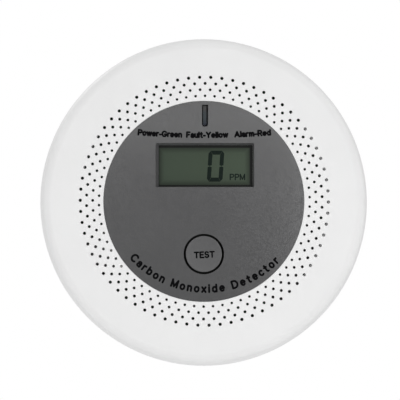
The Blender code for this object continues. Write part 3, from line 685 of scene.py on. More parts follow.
def ribbon(shape, points, half, height=0.0):
    """A flat pen stroke along points, added to a bmesh: mitred sides and round ends."""
    def corner(flat):
        return shape.verts.new((*flat, height))

    path = [Vector(point) for point in points]
    sides = []
    for i, here in enumerate(path):
        before = (here - path[i - 1]).normalized() if i else None
        after = (path[i + 1] - here).normalized() if i + 1 < len(path) else None
        heading = ((before or after) + (after or before)).normalized()
        across = Vector((-heading.y, heading.x))
        reach = half / max(0.6, heading.dot(before or after))
        sides.append((corner(here + across * reach), corner(here - across * reach)))
    for (a, b), (c, d) in zip(sides, sides[1:]):
        shape.faces.new((a, b, d, c))
    if (path[0] - path[-1]).length < 1e-6:
        return
    for tip, inward in ((path[0], path[1]), (path[-1], path[-2])):
        back = (tip - inward).normalized()
        start = Vector((-back.y, back.x))
        angles = [radians(30 * k) for k in range(7)]
        shape.faces.new([corner(tip + half * (start * cos(a) + back * sin(a))) for a in angles])


def raise_flat(shape, back, thickness):
    """Turns the flat faces of a bmesh into closed bodies standing on a depth."""
    bmesh.ops.translate(shape, vec=(0, 0, back), verts=shape.verts)
    lid = bmesh.ops.extrude_face_region(shape, geom=shape.faces[:])
    raised = [item for item in lid["geom"] if isinstance(item, bmesh.types.BMVert)]
    bmesh.ops.translate(shape, vec=(0, 0, thickness), verts=raised)
    bmesh.ops.recalc_face_normals(shape, faces=shape.faces)


def lettering(text, cap_height, weight, tracking=0.0):
    """A thin closed body of text centred on the origin, its back just below zero depth.

    Each stroke lies a hair higher than the last, so that no two overlap at one height.
    """
    shape = bmesh.new()
    travelled, drawn = 0.0, 0
    for character in text:
        strokes = GLYPHS[character]
        low = min(x for stroke in strokes for x, _ in stroke) - weight / 2
        high = max(x for stroke in strokes for x, _ in stroke) + weight / 2
        for stroke in [part for whole in strokes for part in unfolded(whole)]:
            placed = [(travelled + (x - low) * cap_height, y * cap_height) for x, y in stroke]
            ribbon(shape, placed, weight * cap_height / 2, STROKE_STEP * (drawn % 7))
            drawn += 1
        travelled += (high - low + tracking) * cap_height
    width = travelled - tracking * cap_height
    bmesh.ops.translate(shape, vec=(-width / 2, -cap_height / 2, 0), verts=shape.verts)
    raise_flat(shape, -INK_ROOT, INK_HEIGHT + INK_ROOT)
    return finished(shape)


def along_arc(text, cap_height, weight, centre, radius, start, end):
    """Letters on the faceplate, spread evenly along the lower side of a circle, tops to its centre."""
    glyphs = []
    for character in text:
        mesh = None if character == " " else lettering(character, cap_height, weight)
        width = max(v.co.x for v in mesh.vertices) * 2 if mesh else WORD_SPACE * cap_height
        glyphs.append((mesh, width))
    gap = (radius * (end - start) - sum(width for _, width in glyphs)) / (len(glyphs) - 1)
    placed, travelled = [], 0.0
    for i, (mesh, width) in enumerate(glyphs):
        if mesh:
            angle = start + (travelled + width / 2) / radius
            spot = shift(*polar(radius, angle, centre), PLATE_FACE + 0.0008 * (i % 2))
            placed.append(moved(mesh, spot @ spin(angle + pi / 2)))
        travelled += width + gap
    return joined(*placed)


def printing():
    radius = 259.0
    centre = (0.4, 19.75 + radius)
    groups = []
    for text, *ends in (("Power-Green", -19.7, -6.4), ("Fault-Yellow", -5.3, 7.3), ("Alarm-Red", 9.0, 20.0)):
        angles = [-pi / 2 + (x - centre[0]) / radius for x in ends]
        groups.append(along_arc(text, 1.68, 0.32, centre, radius, *angles))
    piece("ink_legend", joined(*groups), ink)
    angles = [radians(a) for a in (221.5, 316)]
    piece("ink_title", along_arc("Carbon Monoxide Detector", 2.4, 0.25, (0.68, 3.4), 29.3, *angles), ink)


# ---- Display

LCD_FRONT = 35.6
REFLECTOR, REFLECTOR_SIZE = (0.15, 10.42), (27.0, 11.1)


def reflector_look():
    """A grey-green film with painted light, a little lighter to the right, and painted shadow, darker along
    its rim.
    """
    look = Look("lcd_reflector", 0.35, Specular_IOR_Level=0.1)
    across = look.spread(look.axis("X", look.coords), 0.0, 1.0, -0.0135, 0.0135)
    # Painted light: the film's colour grows a little lighter to the right, where the light falls.
    lit = look.ramp(across, (0.0, linear(58, 69, 57)), (0.55, linear(58, 69, 56)), (1.0, linear(64, 76, 62)))
    sides = [
        look.beyond(axis, middle * MM, size / 2 * MM)
        for axis, middle, size in zip("XZ", REFLECTOR, REFLECTOR_SIZE)
    ]
    # Painted shadow: the film darkens towards its rim, where the bezel shades it.
    shadow = look.spread(look.math("MAXIMUM", *sides), 1.0, 0.5, -0.0016, 0.0)
    look.shade(Base_Color=look.times(lit, shadow))
    look.bump(look.noise(6000, 2), 0.1, 0.00001)
    return look.material


def seven_segment_zero(width, height, stroke, gap, slant):
    """The six lit bars of a nought, as outlines about its centre, leaning by slant."""
    x, y, s = width / 2, height / 2, stroke
    bars = []
    for up in (1, -1):
        inner = up * (y - s)
        bars.append([(-x + s / 2, up * y), (x - s / 2, up * y), (x - s - gap, inner), (-x + s + gap, inner)])
        for side in (1, -1):
            bars.append([
                (side * x, up * (y - 0.7 * s), 0.2), (side * (x - 0.5 * s), up * (y - 0.1 * s), 0.1),
                (side * (x - s), up * (y - s - gap)), (side * (x - s), up * (gap + 0.2 * s)),
                (side * (x - s * 0.5), up * gap, 0.1), (side * x, up * (gap + 0.2 * s)),
            ])
    return [[(px + py * slant, py) for px, py in rounded(bar)] for bar in bars]


def display():
    glass = block((30.4, 16.6), LCD_CENTRE, 33.6, LCD_FRONT)
    # The glass is drawn matt black, so a dark band shows round the film: partly the display's dark border,
    # partly painted shadow in the gap under the bezel.
    piece("lcd_panel", bevelled(glass, 0.12), gap_shade_black, "lcd_glass")
    film = slab(REFLECTOR_SIZE, 0.25, REFLECTOR, LCD_FRONT + 0.01, LCD_FRONT + 0.05)
    piece("lcd_reflector", film, reflector_look())
    back, front = LCD_FRONT + 0.06, LCD_FRONT + 0.1
    digit = seven_segment_zero(4.65, 9.2, 1.18, 0.06, tan(radians(3.7)))
    bars = [moved(outlined([bar], back, front), shift(3.5, 10.5)) for bar in digit]
    unit = moved(lettering("PPM", 1.85, 0.18, 0.06), shift(10.0, 7.27, back))
    look = Look("lcd_segment", 0.4, Specular_IOR_Level=0.05)
    look.mottle(900, 2, linear(14, 25, 20), linear(18, 29, 24))
    piece("lcd_segments", joined(*bars, unit), look.material)


display()
printing()


# ---- Button and light pipe


def light_pipe():
    """A smoked strip in the slot, darker and bluer towards its lower end."""
    look = Look("smoke_acrylic", 0.2, Specular_IOR_Level=0.1)
    along = look.spread(look.axis("Z", look.coords), 0.0, 1.0, 0.0222, 0.0289)
    grey = linear(54, 59, 62)
    stops = [(0.05, linear(37, 41, 51)), (0.4, grey), (0.62, grey), (0.75, linear(63, 63, 63))]
    look.shade(Base_Color=look.ramp(along, *stops))
    look.bump(look.noise(500, 2), 0.08, 0.00003)
    stem = outlined([[(x - 0.1, y) for x, y in slot_outline(0.42)]], 27.5, FACE - 0.25)
    middle = (SLOT_LOW + SLOT_HIGH) / 2
    flange = slab((3.8, 8.8), 0.5, (SLOT_X, middle), 33.4, 34.7)
    strip = bevelled(union(stem, flange), 0.12, 3)
    piece("indicator_window", strip, look.material, "light_pipe")


def button():
    radius = 5.36
    dish = [(r, 37.86 + 0.0025 * r * r) for r in (0, 1.2, 2.4, 3.6, 4.6)]
    cap = turned([
        *dish, (5.05, 37.93), (radius, 37.94, 0.1), (radius, 34.5), (6.9, 34.5, 0.2), (6.9, 33.4, 0.2),
        (2.2, 33.4), (2.2, 31.5, 0.3), (0, 31.5),
    ], 96, BUTTON, 5)
    # The cap's sides are drawn matt black: painted shade for the dark gap round the button.
    piece(
        "button_cap", cap, [button_grey_painted_light, gap_shade_black], "test_button", "button",
        paint=lambda centre: int(off_axis(centre, BUTTON) > radius - 0.02),
    )
    place = shift(0.15, BUTTON[1] - 0.2, 37.9) @ spin(radians(2.5))
    piece("ink_test", moved(lettering("TEST", 1.87, 0.24, 0.03), place), ink, body="button")


light_pipe()
button()


# ---- Rear housing

REAR_FACE, INNER_FACE = 3.8, 5.8
TRAY_X, TRAY_Y, TRAY_WALL = 28.5, 22.0, 1.5
TRAY_FLOOR, TRAY_TOP = 20.7, 22.0
DOORWAY_X, DOORWAY_Y = 27.5, 23.0
HINGE_Y, HINGE_DEPTH = 21.8, 4.7
CELL_PITCH, CELL_DEPTH, CELL_RADIUS = 14.6, 13.2, 7.2
MARK_BACK, MARK_FRONT = REAR_FACE - 0.35, REAR_FACE + 0.1
HOOK_ANGLES = [radians(a) for a in (0, 90, 180, 270)]

# Turns a drawing made as (y, depth) and stretched along x into place.
SIDEWAYS = Matrix(((0, 0, 1, 0), (1, 0, 0, 0), (0, 1, 0, 0), (0, 0, 0, 1)))


def stretched(outline, low_x, high_x):
    return moved(outlined([outline], low_x, high_x), SIDEWAYS)


def bayonet_slot(angle):
    """Narrow where the hook locks, wide where its head passes after the twist."""
    half = 2.5 / 40.2 + radians(0.8)
    release = angle - radians(15)
    outline = (
        arc((0, 0), 42.15, release - half, angle + half, 30)
        + arc((0, 0), 39.9, angle + half, release + half, 20)
        + arc((0, 0), 38.1, release + half, release - half, 12)
    )
    return outlined([outline], REAR_FACE - 1, INNER_FACE + 1)


def arc_arrow(start, end):
    """An arrow that follows a circle."""
    radius, width = 35.4, 0.7
    tip = end + copysign(2.2 / radius, end - start)
    outline = (
        arc((0, 0), radius + width / 2, start, end, 12)
        + [polar(radius + 1.3 * width, end), polar(radius, tip), polar(radius - 1.3 * width, end)]
        + arc((0, 0), radius - width / 2, end, start, 12)
    )
    return outlined([outline], MARK_BACK, MARK_FRONT)


def plus_mark(x, y):
    s, p = 1.5, 0.25
    outline = [
        (s, p), (p, p), (p, s), (-p, s), (-p, p), (-s, p), (-s, -p), (-p, -p), (-p, -s), (p, -s), (p, -p),
        (s, -p),
    ]
    return outlined([[(x + u, y + v) for u, v in outline]], MARK_BACK, MARK_FRONT)


def minus_mark(x, y):
    return block((3.0, 0.5), (x, y), MARK_BACK, MARK_FRONT)


def rear_case():
    body = turned([
        (0, INNER_FACE), (46, INNER_FACE, 0.8), (46, 14, 0.25), (47, 14, 0.25), (47, 11.7, 0.2),
        (49.8, 11.7, 0.25), (50, 7.5, 3), (50, 5.6, 1.2), (48.4, REAR_FACE, 1.4), (0, REAR_FACE),
    ], SHELL_STEPS, segments=5, turn=SHELL_TURN)
    size = (2 * (TRAY_X + TRAY_WALL), 2 * (TRAY_Y + TRAY_WALL))
    tray = slab(size, 2.0, (0, 0), INNER_FACE - 0.8, TRAY_TOP)
    body = union(body, tray, *[drum(3.5, INNER_FACE - 0.8, 7.7, place) for place in CASE_SCREWS])
    body = cut(body, slab((2 * TRAY_X, 2 * TRAY_Y), 0.6, (0, 0), INNER_FACE - 0.2, TRAY_FLOOR))
    body = cut(body, slab((2 * DOORWAY_X, 2 * DOORWAY_Y), 0.25, (0, 0), REAR_FACE - 1, INNER_FACE + 0.1))
    pin_end = DOORWAY_X + 1.5
    notches = [
        ((low, HINGE_Y - 1.05, REAR_FACE - 1), (high, HINGE_Y + 1.05, INNER_FACE + 0.05))
        for low, high in ((-pin_end, 1 - DOORWAY_X), (DOORWAY_X - 1, pin_end))
    ]
    tabs = [
        ((TRAY_X - 0.5, CELL_PITCH - 1.9, 17.9), (TRAY_X + 2, CELL_PITCH + 1.9, 18.9)),
        ((-TRAY_X - 2, -CELL_PITCH - 1.9, 17.9), (0.5 - TRAY_X, 1.9 - CELL_PITCH, 18.9)),
    ]
    body = cut(body, boxes(*notches, *tabs), *[bayonet_slot(angle) for angle in HOOK_ANGLES])
    for radius, front, steps in ((1.6, 9, 24), (2.9, 6.0, 40)):
        body = cut(body, *[drum(radius, REAR_FACE - 1, front, place, steps) for place in CASE_SCREWS])
    saddles = boxes(*(
        ((x, -TRAY_Y - 0.1, 15.5), (x + 1, TRAY_Y + 0.1, TRAY_FLOOR + 0.2)) for x in (-12.6, 11.6)
    ))
    cells = [rod(CELL_RADIUS + 0.28, -20, 20, row * CELL_PITCH, CELL_DEPTH, 48) for row in (-1, 0, 1)]
    marks = []
    for row, side in ((1, 1), (0, -1), (-1, 1)):
        marks += [plus_mark(32.0 * side, row * CELL_PITCH), minus_mark(-32.0 * side, row * CELL_PITCH)]
    marks += [arc_arrow(radians(a), radians(a - 11)) for a in (95.5, 275.5)]
    return union(union(body, cut(saddles, *cells)), *marks)


piece("rear_case", rear_case(), white_plastic, "rear_housing")


# ---- Battery door


def battery_door():
    """A flat lid with a rounded hinge edge, two pins, latch slits and shallow marks in its outside."""
    half_x, half_t = DOORWAY_X - 0.3, 0.9
    bottom = -DOORWAY_Y + 0.3
    low, high = HINGE_DEPTH - half_t, HINGE_DEPTH + half_t
    knuckle = arc((HINGE_Y, HINGE_DEPTH), half_t, radians(75), radians(-75), 11)
    side = rounded([(HINGE_Y, high), *knuckle, (HINGE_Y, low), (bottom, low, 0.5), (bottom, high, 0.2)], 5)
    door = bevelled(stretched(side, -half_x, half_x), 0.3, 3, 60)
    pins = [
        rod(0.75, start, start + 2, HINGE_Y, HINGE_DEPTH, 24) for start in (half_x - 0.6, -half_x - 1.4)
    ]
    slits = [slab((0.8, 20), 0.39, (x, bottom - 1), REAR_FACE - 1, 7) for x in (-6, 6)]
    grip = [slab((9, 0.8), 0.39, (0, bottom + y), REAR_FACE - 1, REAR_FACE + 0.5) for y in (2.4, 4.2, 6.0)]
    arrow = rounded([(-1.6, bottom + 10.9, 0.2), (1.6, bottom + 10.9, 0.2), (0, bottom + 13.3, 0.2)], 3)
    pointer = outlined([arrow], REAR_FACE - 1, REAR_FACE + 0.25)
    panel = cut(
        slab((46, 30), 2.0, (0, 1.5), REAR_FACE - 1, REAR_FACE + 0.12),
        slab((45, 29), 1.5, (0, 1.5), REAR_FACE - 2, REAR_FACE + 1),
    )
    return cut(union(door, *pins), *slits, *grip, pointer, panel)


piece("battery_cover", battery_door(), white_plastic, "battery_door", "door")


# ---- Mounting bracket


def hook(angle):
    """An L in side view, drawn as (radius, depth) and stretched along the ring."""
    side = rounded([
        (40.2, 1.9), (41.8, 1.9), (41.8, 7.8, 0.45), (38.4, 7.8, 0.35), (38.4, 6.2, 0.3), (40.2, 6.2, 0.2),
    ])
    mesh = bevelled(outlined([side], -2.5, 2.5), 0.18, 2, 60)
    return moved(mesh, spin(pi / 2, "X"), spin(angle))


def bracket():
    """A channelled ring with hooks, stiffening ribs and counterbored slots for wall screws."""
    ring = turned([
        (46.4, 3.5, 0.15), (47, 2.9, 0.15), (47, 0, 0.2), (37.6, 0, 0.2), (37.6, 3.5, 0.3), (38.8, 3.5, 0.3),
        (38.8, 2.4, 0.2), (45.2, 2.4, 0.2), (45.2, 3.5, 0.2),
    ], 180, segments=3)
    middle, half_arc = 42.0, radians(7)
    ribs = [
        moved(block((7.4, 0.9), (middle, 0), 2.0, 3.3), spin(radians(a)))
        for a in (20, 70, 110, 160, 200, 250, 290, 340)
    ]
    ring = union(union(ring, *ribs), *[hook(angle) for angle in HOOK_ANGLES])
    for half_width, back in ((2.1, -1), (2.75, 1.5)):
        for angle in (radians(a) for a in (45, 135, 225, 315)):
            slot = ring_slot(middle, half_width, angle - half_arc, angle + half_arc)
            ring = cut(ring, outlined([slot], back, 2.9))
    return ring


piece("bracket_ring", bracket(), white_plastic, "mounting_bracket", "bracket")


# ---- Cells and contacts

FILM = {"roughness": 0.26, "grain": 3000, "depth": 0.000003, "mottle": 0.05, "Coat_Weight": 0.5}
jacket_grey = moulded("cell_jacket_grey", (0.34, 0.35, 0.36), **FILM)
jacket_green = moulded("cell_jacket_green", (0.03, 0.20, 0.12), **FILM)
gasket = moulded("cell_gasket", (0.03, 0.03, 0.03), 0.6, mottle=0.2)


def cell(name, node, row, sign):
    """A cell with bare ends, seals round them, and a jacket in two colours. sign says where plus points."""
    length, nub_end = 50.2, 27.55
    band = length - 13
    mesh = turned([
        (0, length), (2.6, length, 0.5), (2.6, length - 1.1, 0.15), (3.6, length - 1.1), (3.7, length - 0.9),
        (6.3, length - 0.9, 0.2), (CELL_RADIUS, length - 1.2, 0.5), (CELL_RADIUS, band),
        (CELL_RADIUS, band - 0.6), (CELL_RADIUS, 0.35, 0.4), (6.2, 0.3, 0.1), (6.0, 0.05, 0.1), (5.0, 0),
        (1.5, 0), (1.2, 0.15), (0, 0.15),
    ], 64)

    def paint(centre):
        along = length - nub_end + sign * centre.x
        out = hypot(centre.y - row * CELL_PITCH, centre.z - CELL_DEPTH)
        if out < 3.4 and along > 40 or out < 6.1 and along < 10:
            return 0
        if out < 5.9 or 0 < band - along < 0.6:
            return 3
        return 2 if along > band else 1

    place = shift(0, row * CELL_PITCH, CELL_DEPTH)
    mesh = moved(mesh, shift(z=nub_end - length), spin(sign * pi / 2, "Y"), place)
    piece(name, mesh, [nickel, jacket_grey, jacket_green, gasket], node, paint=paint)


def contact(name, node, sign, low_y, high_y, tab_y=None, dimple_y=None):
    """A sprung sheet on a side of the tray, with a dimple for a cell or a solder tab if asked for."""
    def span(near, far):
        return sorted((sign * near, sign * far))

    outer, wall = TRAY_X - 0.3, TRAY_X + TRAY_WALL
    inner = outer - 0.35
    outline = rounded_box(high_y - low_y, 13, 1.2, ((low_y + high_y) / 2, 13.1))
    plate = stretched(outline, *span(inner, outer))
    if dimple_y is not None:
        plate = union(plate, rod(1.5, *span(inner - 0.22, inner + 0.1), dimple_y, CELL_DEPTH))
    if tab_y is not None:
        low_x, high_x = span(inner + 0.1, wall + 1.8)
        tab = slab((high_x - low_x, 3), 0.4, ((low_x + high_x) / 2, tab_y), 18.2, 18.6)
        plate = cut(union(plate, tab), drum(0.55, 17, 20, (sign * (wall + 0.9), tab_y), 20))
    piece(name, plate, nickel, node)


def battery_spring(name, node, sign, row):
    """A conical coil: a closed end turn at the plate, its narrow end at the cell."""
    plate, tip = 27.2, 23.3
    points = []
    for i in range(81):
        t = i / 80
        x = sign * (plate + (tip - plate) * max(0.0, (t - 0.12) / 0.88))
        points.append((x, *polar(4.2 - 1.6 * t, 2 * pi * 3.25 * t, (row * CELL_PITCH, CELL_DEPTH))))
    piece(name, tube(points, 0.35), nickel, node, sharp=60)


cell("cell_top", "battery_top", 1, 1)
cell("cell_middle", "battery_middle", 0, -1)
cell("cell_bottom", "battery_bottom", -1, 1)
contact("plate_positive", "contact_positive", 1, 8.6, 20.6, CELL_PITCH, CELL_PITCH)
contact("plate_bridge_right", "contact_bridge_right", 1, -20.6, 6.0, dimple_y=-CELL_PITCH)
contact("plate_bridge_left", "contact_bridge_left", -1, -6.0, 20.6, dimple_y=0)
contact("plate_negative", "contact_negative", -1, -20.6, -8.6, -CELL_PITCH)
battery_spring("coil_top", "spring_top", -1, 1)
battery_spring("coil_middle", "spring_middle", 1, 0)
battery_spring("coil_bottom", "spring_bottom", -1, -1)


# ---- Screws

zinc = metal("zinc_screw", (0.60, 0.61, 0.63), 0.3)


def screw(place, head_radius, shank_radius, head_back, head_front, tip):
    """A pan-head screw driven from the back: domed head, cross recess, ringed shank."""
    core = shank_radius * 0.78
    threads = []
    z = head_front + 0.8
    while z < tip - 1.6:
        threads += [(core, z), (shank_radius, z + 0.25), (core, z + 0.5)]
        z += 0.6
    mesh = turned([
        (0, tip), (shank_radius * 0.3, tip - 0.1), (core, tip - 1.1), *reversed(threads), (core, head_front),
        (shank_radius * 0.8, head_front), (head_radius, head_front, 0.15),
        (head_radius, head_back + 0.35, 0.4), (head_radius * 0.55, head_back, 0.6), (0, head_back),
    ], 32, place, 5)
    for size in ((head_radius, head_radius * 0.26), (head_radius * 0.26, head_radius)):
        mesh = cut(mesh, block(size, place, head_back - 1, head_back + 0.9))
    return mesh


for name, node, places, sizes in (
    ("housing_screw", "case_screw", CASE_SCREWS, (2.5, 1.1, 4.1, 5.7, 16)),
    ("pcb_screw", "board_screw", BOARD_SCREWS, (2.2, 1.0, 22.3, 23.7, 31)),
):
    for i, place in enumerate(places, 1):
        piece(f"{name}_{i}", screw(place, *sizes), zinc, f"{node}_{i}")


# ---- Circuit board

BOARD_BACK, BOARD_FRONT = 24.0, 25.6
PAD_FRONT = BOARD_FRONT + 0.05
BOARD_RADIUS, NOTCH_RADIUS = 42, 3.6
SENSOR, SOUNDER = (-28.5, -15.0), (22.0, -17.0)
CAPACITOR, COIL = (-6, 30), (7, 30)

board_green = moulded("solder_mask", (0.018, 0.115, 0.045), 0.3, 1200, mottle=0.12, Coat_Weight=0.3)
trace_green = moulded("copper_under_mask", (0.035, 0.19, 0.075), 0.32, 1200, mottle=0.1, Coat_Weight=0.3)
tin = metal("tinned_copper", (0.74, 0.73, 0.70), 0.35)
copper = metal("enamelled_copper", (0.72, 0.32, 0.12), 0.3)
brass = metal("brass_sheet", (0.78, 0.58, 0.25), 0.32)
ceramic = moulded("ceramic_chip", (0.42, 0.33, 0.22), 0.5, mottle=0.1)
ceramic_white = moulded("piezo_ceramic", (0.55, 0.55, 0.52), 0.5, mottle=0.06)
ferrite = moulded("ferrite", (0.045, 0.045, 0.05), 0.65, 1500, 0.00005, mottle=0.3)
red_sleeve = moulded("red_sleeve", (0.50, 0.025, 0.02), 0.4, 900, mottle=0.08)
dark_sleeve = moulded("dark_sleeve", (0.02, 0.02, 0.022), 0.4, 900, mottle=0.15)
filter_white = moulded("filter_white", (0.7, 0.7, 0.68), 0.8, 1500, 0.00005, mottle=0.05)


def board_outline():
    """A round board with a round notch at each housing screw boss."""
    half = acos(
        (BOARD_RADIUS ** 2 + SCREW_RADIUS ** 2 - NOTCH_RADIUS ** 2) / (2 * BOARD_RADIUS * SCREW_RADIUS)
    )
    x, y = polar(BOARD_RADIUS, half)
    mouth = atan2(y, x - SCREW_RADIUS)
    angles = [radians(a) for a in (60, 120, 240, 300, 420)]
    outline = []
    for angle, following in zip(angles, angles[1:]):
        notch = polar(SCREW_RADIUS, angle)
        outline += arc(notch, NOTCH_RADIUS, angle - mouth, angle + mouth - 2 * pi, 20)
        outline += arc((0, 0), BOARD_RADIUS, angle + half, following - half, 48)[1:-1]
    return outline


SENSOR_HOLES = spokes(4.5, (90, 210, 330), SENSOR)
PART_HOLES = [
    (34.5, 7.5), (-34.5, -7.5), (23.1, 1.0), (20.9, 1.0), *SENSOR_HOLES, (-7.25, 30), (-4.75, 30), (5.0, 30),
    (9.0, 30),
]


def circuit_board():
    drilled = [circle(1.3, 32, place) for place in BOARD_SCREWS]
    drilled += [circle(0.45, 16, place) for place in PART_HOLES]
    board = outlined([board_outline(), *drilled], BOARD_BACK, BOARD_FRONT)
    piece("board", board, board_green, "main_pcb")
    pads = []
    for depths in ((BOARD_FRONT, PAD_FRONT), (BOARD_BACK - 0.05, BOARD_BACK)):
        pads += [washer(0.9, 0.46, *depths, place, 20) for place in PART_HOLES]
        pads += [washer(2.4, 1.35, *depths, place) for place in BOARD_SCREWS]
    for i in range(22):
        pads += [block((0.7, 1.7), (-12.6 + 1.2 * i, y), BOARD_FRONT, PAD_FRONT) for y in (4.25, 16.85)]
    piece("board_pads", joined(*pads), tin)


def traces():
    """Copper runs under the green mask: fine ones round the chips and wide ones for power."""
    fan, routes = [], []
    for i in range(10):
        start, end, turn = -12.7 + 0.6 * i, -11.4 + 1.2 * i, -16.6 - 0.55 * i
        fan.append([(start, -23.4), (start, turn), (end, turn + end - start), (end, 3.2)])
    for i in range(6):
        x, lane = -12.4 + 0.8 * i, -37.2 + 0.6 * i
        end = 4 - 0.4 * i
        routes.append([(x, -31.6), (x, lane + 1.5), (x + 1.5, lane), (end, lane), (end + 5, lane + 5)])
    for i in range(5):
        x, y = -31.9 + 0.7 * i, -3.0 + 0.8 * i
        routes.append([(-18.0, y), (x + 3, y), (x, y + 3), (x, 24), (x + 4, 28)])
        x, y = 31.3 - 0.7 * i, 8.6 + 0.8 * i
        routes.append([(18.0, y), (x - 3, y), (x, y + 3), (x, 23), (x - 4, 27)])
    power = [
        [(34.5, 7.5), (34.5, 19.0), (20.0, 33.5), (9.0, 33.5), (9.0, 30.0)],
        [(-34.5, -7.5), (-37.5, -4.5), (-37.5, 9), (-31, 21), (-18.5, 33.5), (-7.25, 33.5), (-7.25, 30)],
        [(23.1, 1.0), (25.5, 3.4), (25.5, 5.0)],
        [(20.9, 1.0), (18.6, 3.3), (18.6, 6.0)],
        [(0.3, 29.5), (0.3, 33.0), (-4.75, 33.0), (-4.75, 30.0)],
        [(5.0, 30.0), (2.6, 27.6), (2.6, 22.0)],
    ]
    shape = bmesh.new()
    for group, half in ((fan + routes, 0.13), (power, 0.45)):
        for route in group:
            ribbon(shape, route, half)
    raise_flat(shape, BOARD_FRONT, 0.03)
    piece("board_traces", finished(shape), trace_green)
    vias = [drum(0.34, BOARD_FRONT, PAD_FRONT, route[-1], 16) for route in routes]
    piece("board_vias", joined(*vias), tin)


RESISTORS = [
    (-24, 15, 0), (-24, 17.5, 0), (-24, 20, 0), (-20.5, 24, 90), (22, 11.5, 0), (22, 14, 0), (22, 16.5, 0),
    (33, 24, 90), (-17, -25, 0), (-17, -27.5, 0), (-17, -30, 0), (-3, -25.5, 0), (-3, -28, 0), (4, -27, 90),
    (-8, 24, 0), (8, 24, 0), (12, 27, 90), (-12, 27, 90), (-26.5, 13, 0), (32, -1, 0),
]
CAPACITORS = [
    (-22, 28, 45), (22, 22, 0), (-2, -31.5, 0), (-16, -33, 0), (14, 24, 90), (-36, 1, 90), (13, 36, 20),
]


def chips():
    """Chip resistors and capacitors, each with two tinned ends."""
    ends = []
    for name, parts, height, look in (
        ("chip_resistors", RESISTORS, 0.5, black_plastic), ("chip_capacitors", CAPACITORS, 0.95, ceramic),
    ):
        bodies = []
        top = BOARD_FRONT + height
        for x, y, degrees in parts:
            place = shift(x, y) @ spin(radians(degrees))
            bodies.append(moved(block((1.3, 0.9), (0, 0), BOARD_FRONT + 0.08, top), place))
            ends += [
                moved(block((0.4, 1.0), (dx, 0), BOARD_FRONT, top + 0.04), place) for dx in (-0.85, 0.85)
            ]
        piece(name, joined(*bodies), look)
    piece("chip_ends", joined(*ends), tin)


def packaged(name, node, centre, size, top, legs):
    """A chip package with gull-wing legs. legs lists (side angle, count)."""
    width, height = size
    dot = (centre[0] - width / 2 + 0.9, centre[1] + height / 2 - 0.9)
    body = cut(bevelled(block(size, centre, SEAT, top), 0.15, 1), drum(0.35, top - 0.08, top + 1, dot, 20))
    feet = []
    for degrees, count in legs:
        out = (height if degrees % 180 else width) / 2
        for i in range(count):
            y = (i - (count - 1) / 2) * 0.8
            leg = boxes(
                ((out - 0.2, y - 0.17, SEAT + 0.5), (out + 0.5, y + 0.17, SEAT + 0.65)),
                ((out + 0.35, y - 0.17, BOARD_FRONT + 0.03), (out + 0.5, y + 0.17, SEAT + 0.6)),
                ((out + 0.4, y - 0.17, BOARD_FRONT + 0.02), (out + 1.0, y + 0.17, BOARD_FRONT + 0.17)),
            )
            feet.append(moved(leg, spin(radians(degrees)), shift(*centre)))
    piece(name, body, black_plastic, node)
    piece(f"{name}_legs", joined(*feet), tin)


def sensor():
    foot = bevelled(drum(7.6, SEAT, 27.2, SENSOR, 64), 0.25)
    piece("sensor_foot", foot, black_plastic, "sensor_base")
    can = turned([
        (0, 33.0), (6.9, 33.0, 0.7), (6.9, 28.5, 0.2), (7.4, 28.3, 0.15), (7.4, 27.5, 0.15), (0, 27.5),
    ], 72, SENSOR, 5)
    piece("sensor_shell", can, nickel, "sensor_can")
    cap = turned([(5.0, 34.0, 0.25), (5.2, 33.3, 0.1), (1.0, 33.3), (1.0, 34.0, 0.15)], 64, SENSOR)
    ports = [drum(0.45, 33, 35, place, 16) for place in spokes(3.1, range(0, 360, 60), SENSOR)]
    piece("sensor_filter", cut(cap, *ports), filter_white, "sensor_filter_cap")
    pins = [drum(0.4, BOARD_BACK - 1.0, SEAT + 0.2, place, 16) for place in SENSOR_HOLES]
    piece("sensor_pins", joined(*pins), tin)


def sounder():
    """A cup, a brass disc with a ceramic layer on it, and a lid with a hole."""
    cup = turned([
        (12.3, 33.2, 0.2), (13.5, 33.2, 0.2), (13.5, SEAT, 0.3), (1.5, SEAT), (1.5, 27.1), (10.6, 27.1, 0.3),
        (10.6, 28.6), (12.3, 28.6),
    ], 96, SOUNDER)
    piece("sounder_cup", cup, black_plastic, "sounder_housing")
    disc = joined(drum(12.0, 28.9, 29.3, SOUNDER, 96), drum(8.4, 29.3, 29.42, SOUNDER, 72))
    piece(
        "sounder_disc", disc, [brass, ceramic_white], "piezo_disc",
        paint=lambda centre: int(centre.z > 29.301),
    )
    lid = turned([
        (12.9, 34.6, 0.3), (13.5, 34.0, 0.3), (13.5, 33.5), (2.0, 33.5), (2.0, 34.6, 0.3),
    ], 96, SOUNDER)
    piece("sounder_lid", lid, black_plastic, "sounder_cap")


def under_board():
    """The capacitor and the coil hang from the back of the board, beside the battery tray."""
    can = turned([
        (0, 23.7), (4.0, 23.7, 0.3), (4.0, 22.3, 0.2), (3.6, 21.8, 0.3), (4.0, 21.3, 0.2), (4.0, 13.0, 0.35),
        (3.2, 13.0), (3.1, 13.15), (0, 13.15),
    ], 56, CAPACITOR)
    piece(
        "capacitor_can", can, [dark_sleeve, nickel], "capacitor",
        paint=lambda centre: int(centre.z < 13.2 and off_axis(centre, CAPACITOR) < 3.15),
    )
    core = turned([
        (0, 23.7), (4.2, 23.7, 0.2), (4.2, 22.6, 0.2), (3.0, 22.4), (3.0, 17.9), (4.2, 17.7, 0.2),
        (4.2, 16.6, 0.2), (0, 16.6),
    ], 56, COIL)
    piece("coil_core", core, ferrite, "boost_coil")
    wires = [revolved(circle(0.25, 8, (3.4, 18.3 + 0.5 * k)), 40, COIL) for k in range(8)]
    piece("coil_winding", joined(*wires), copper)


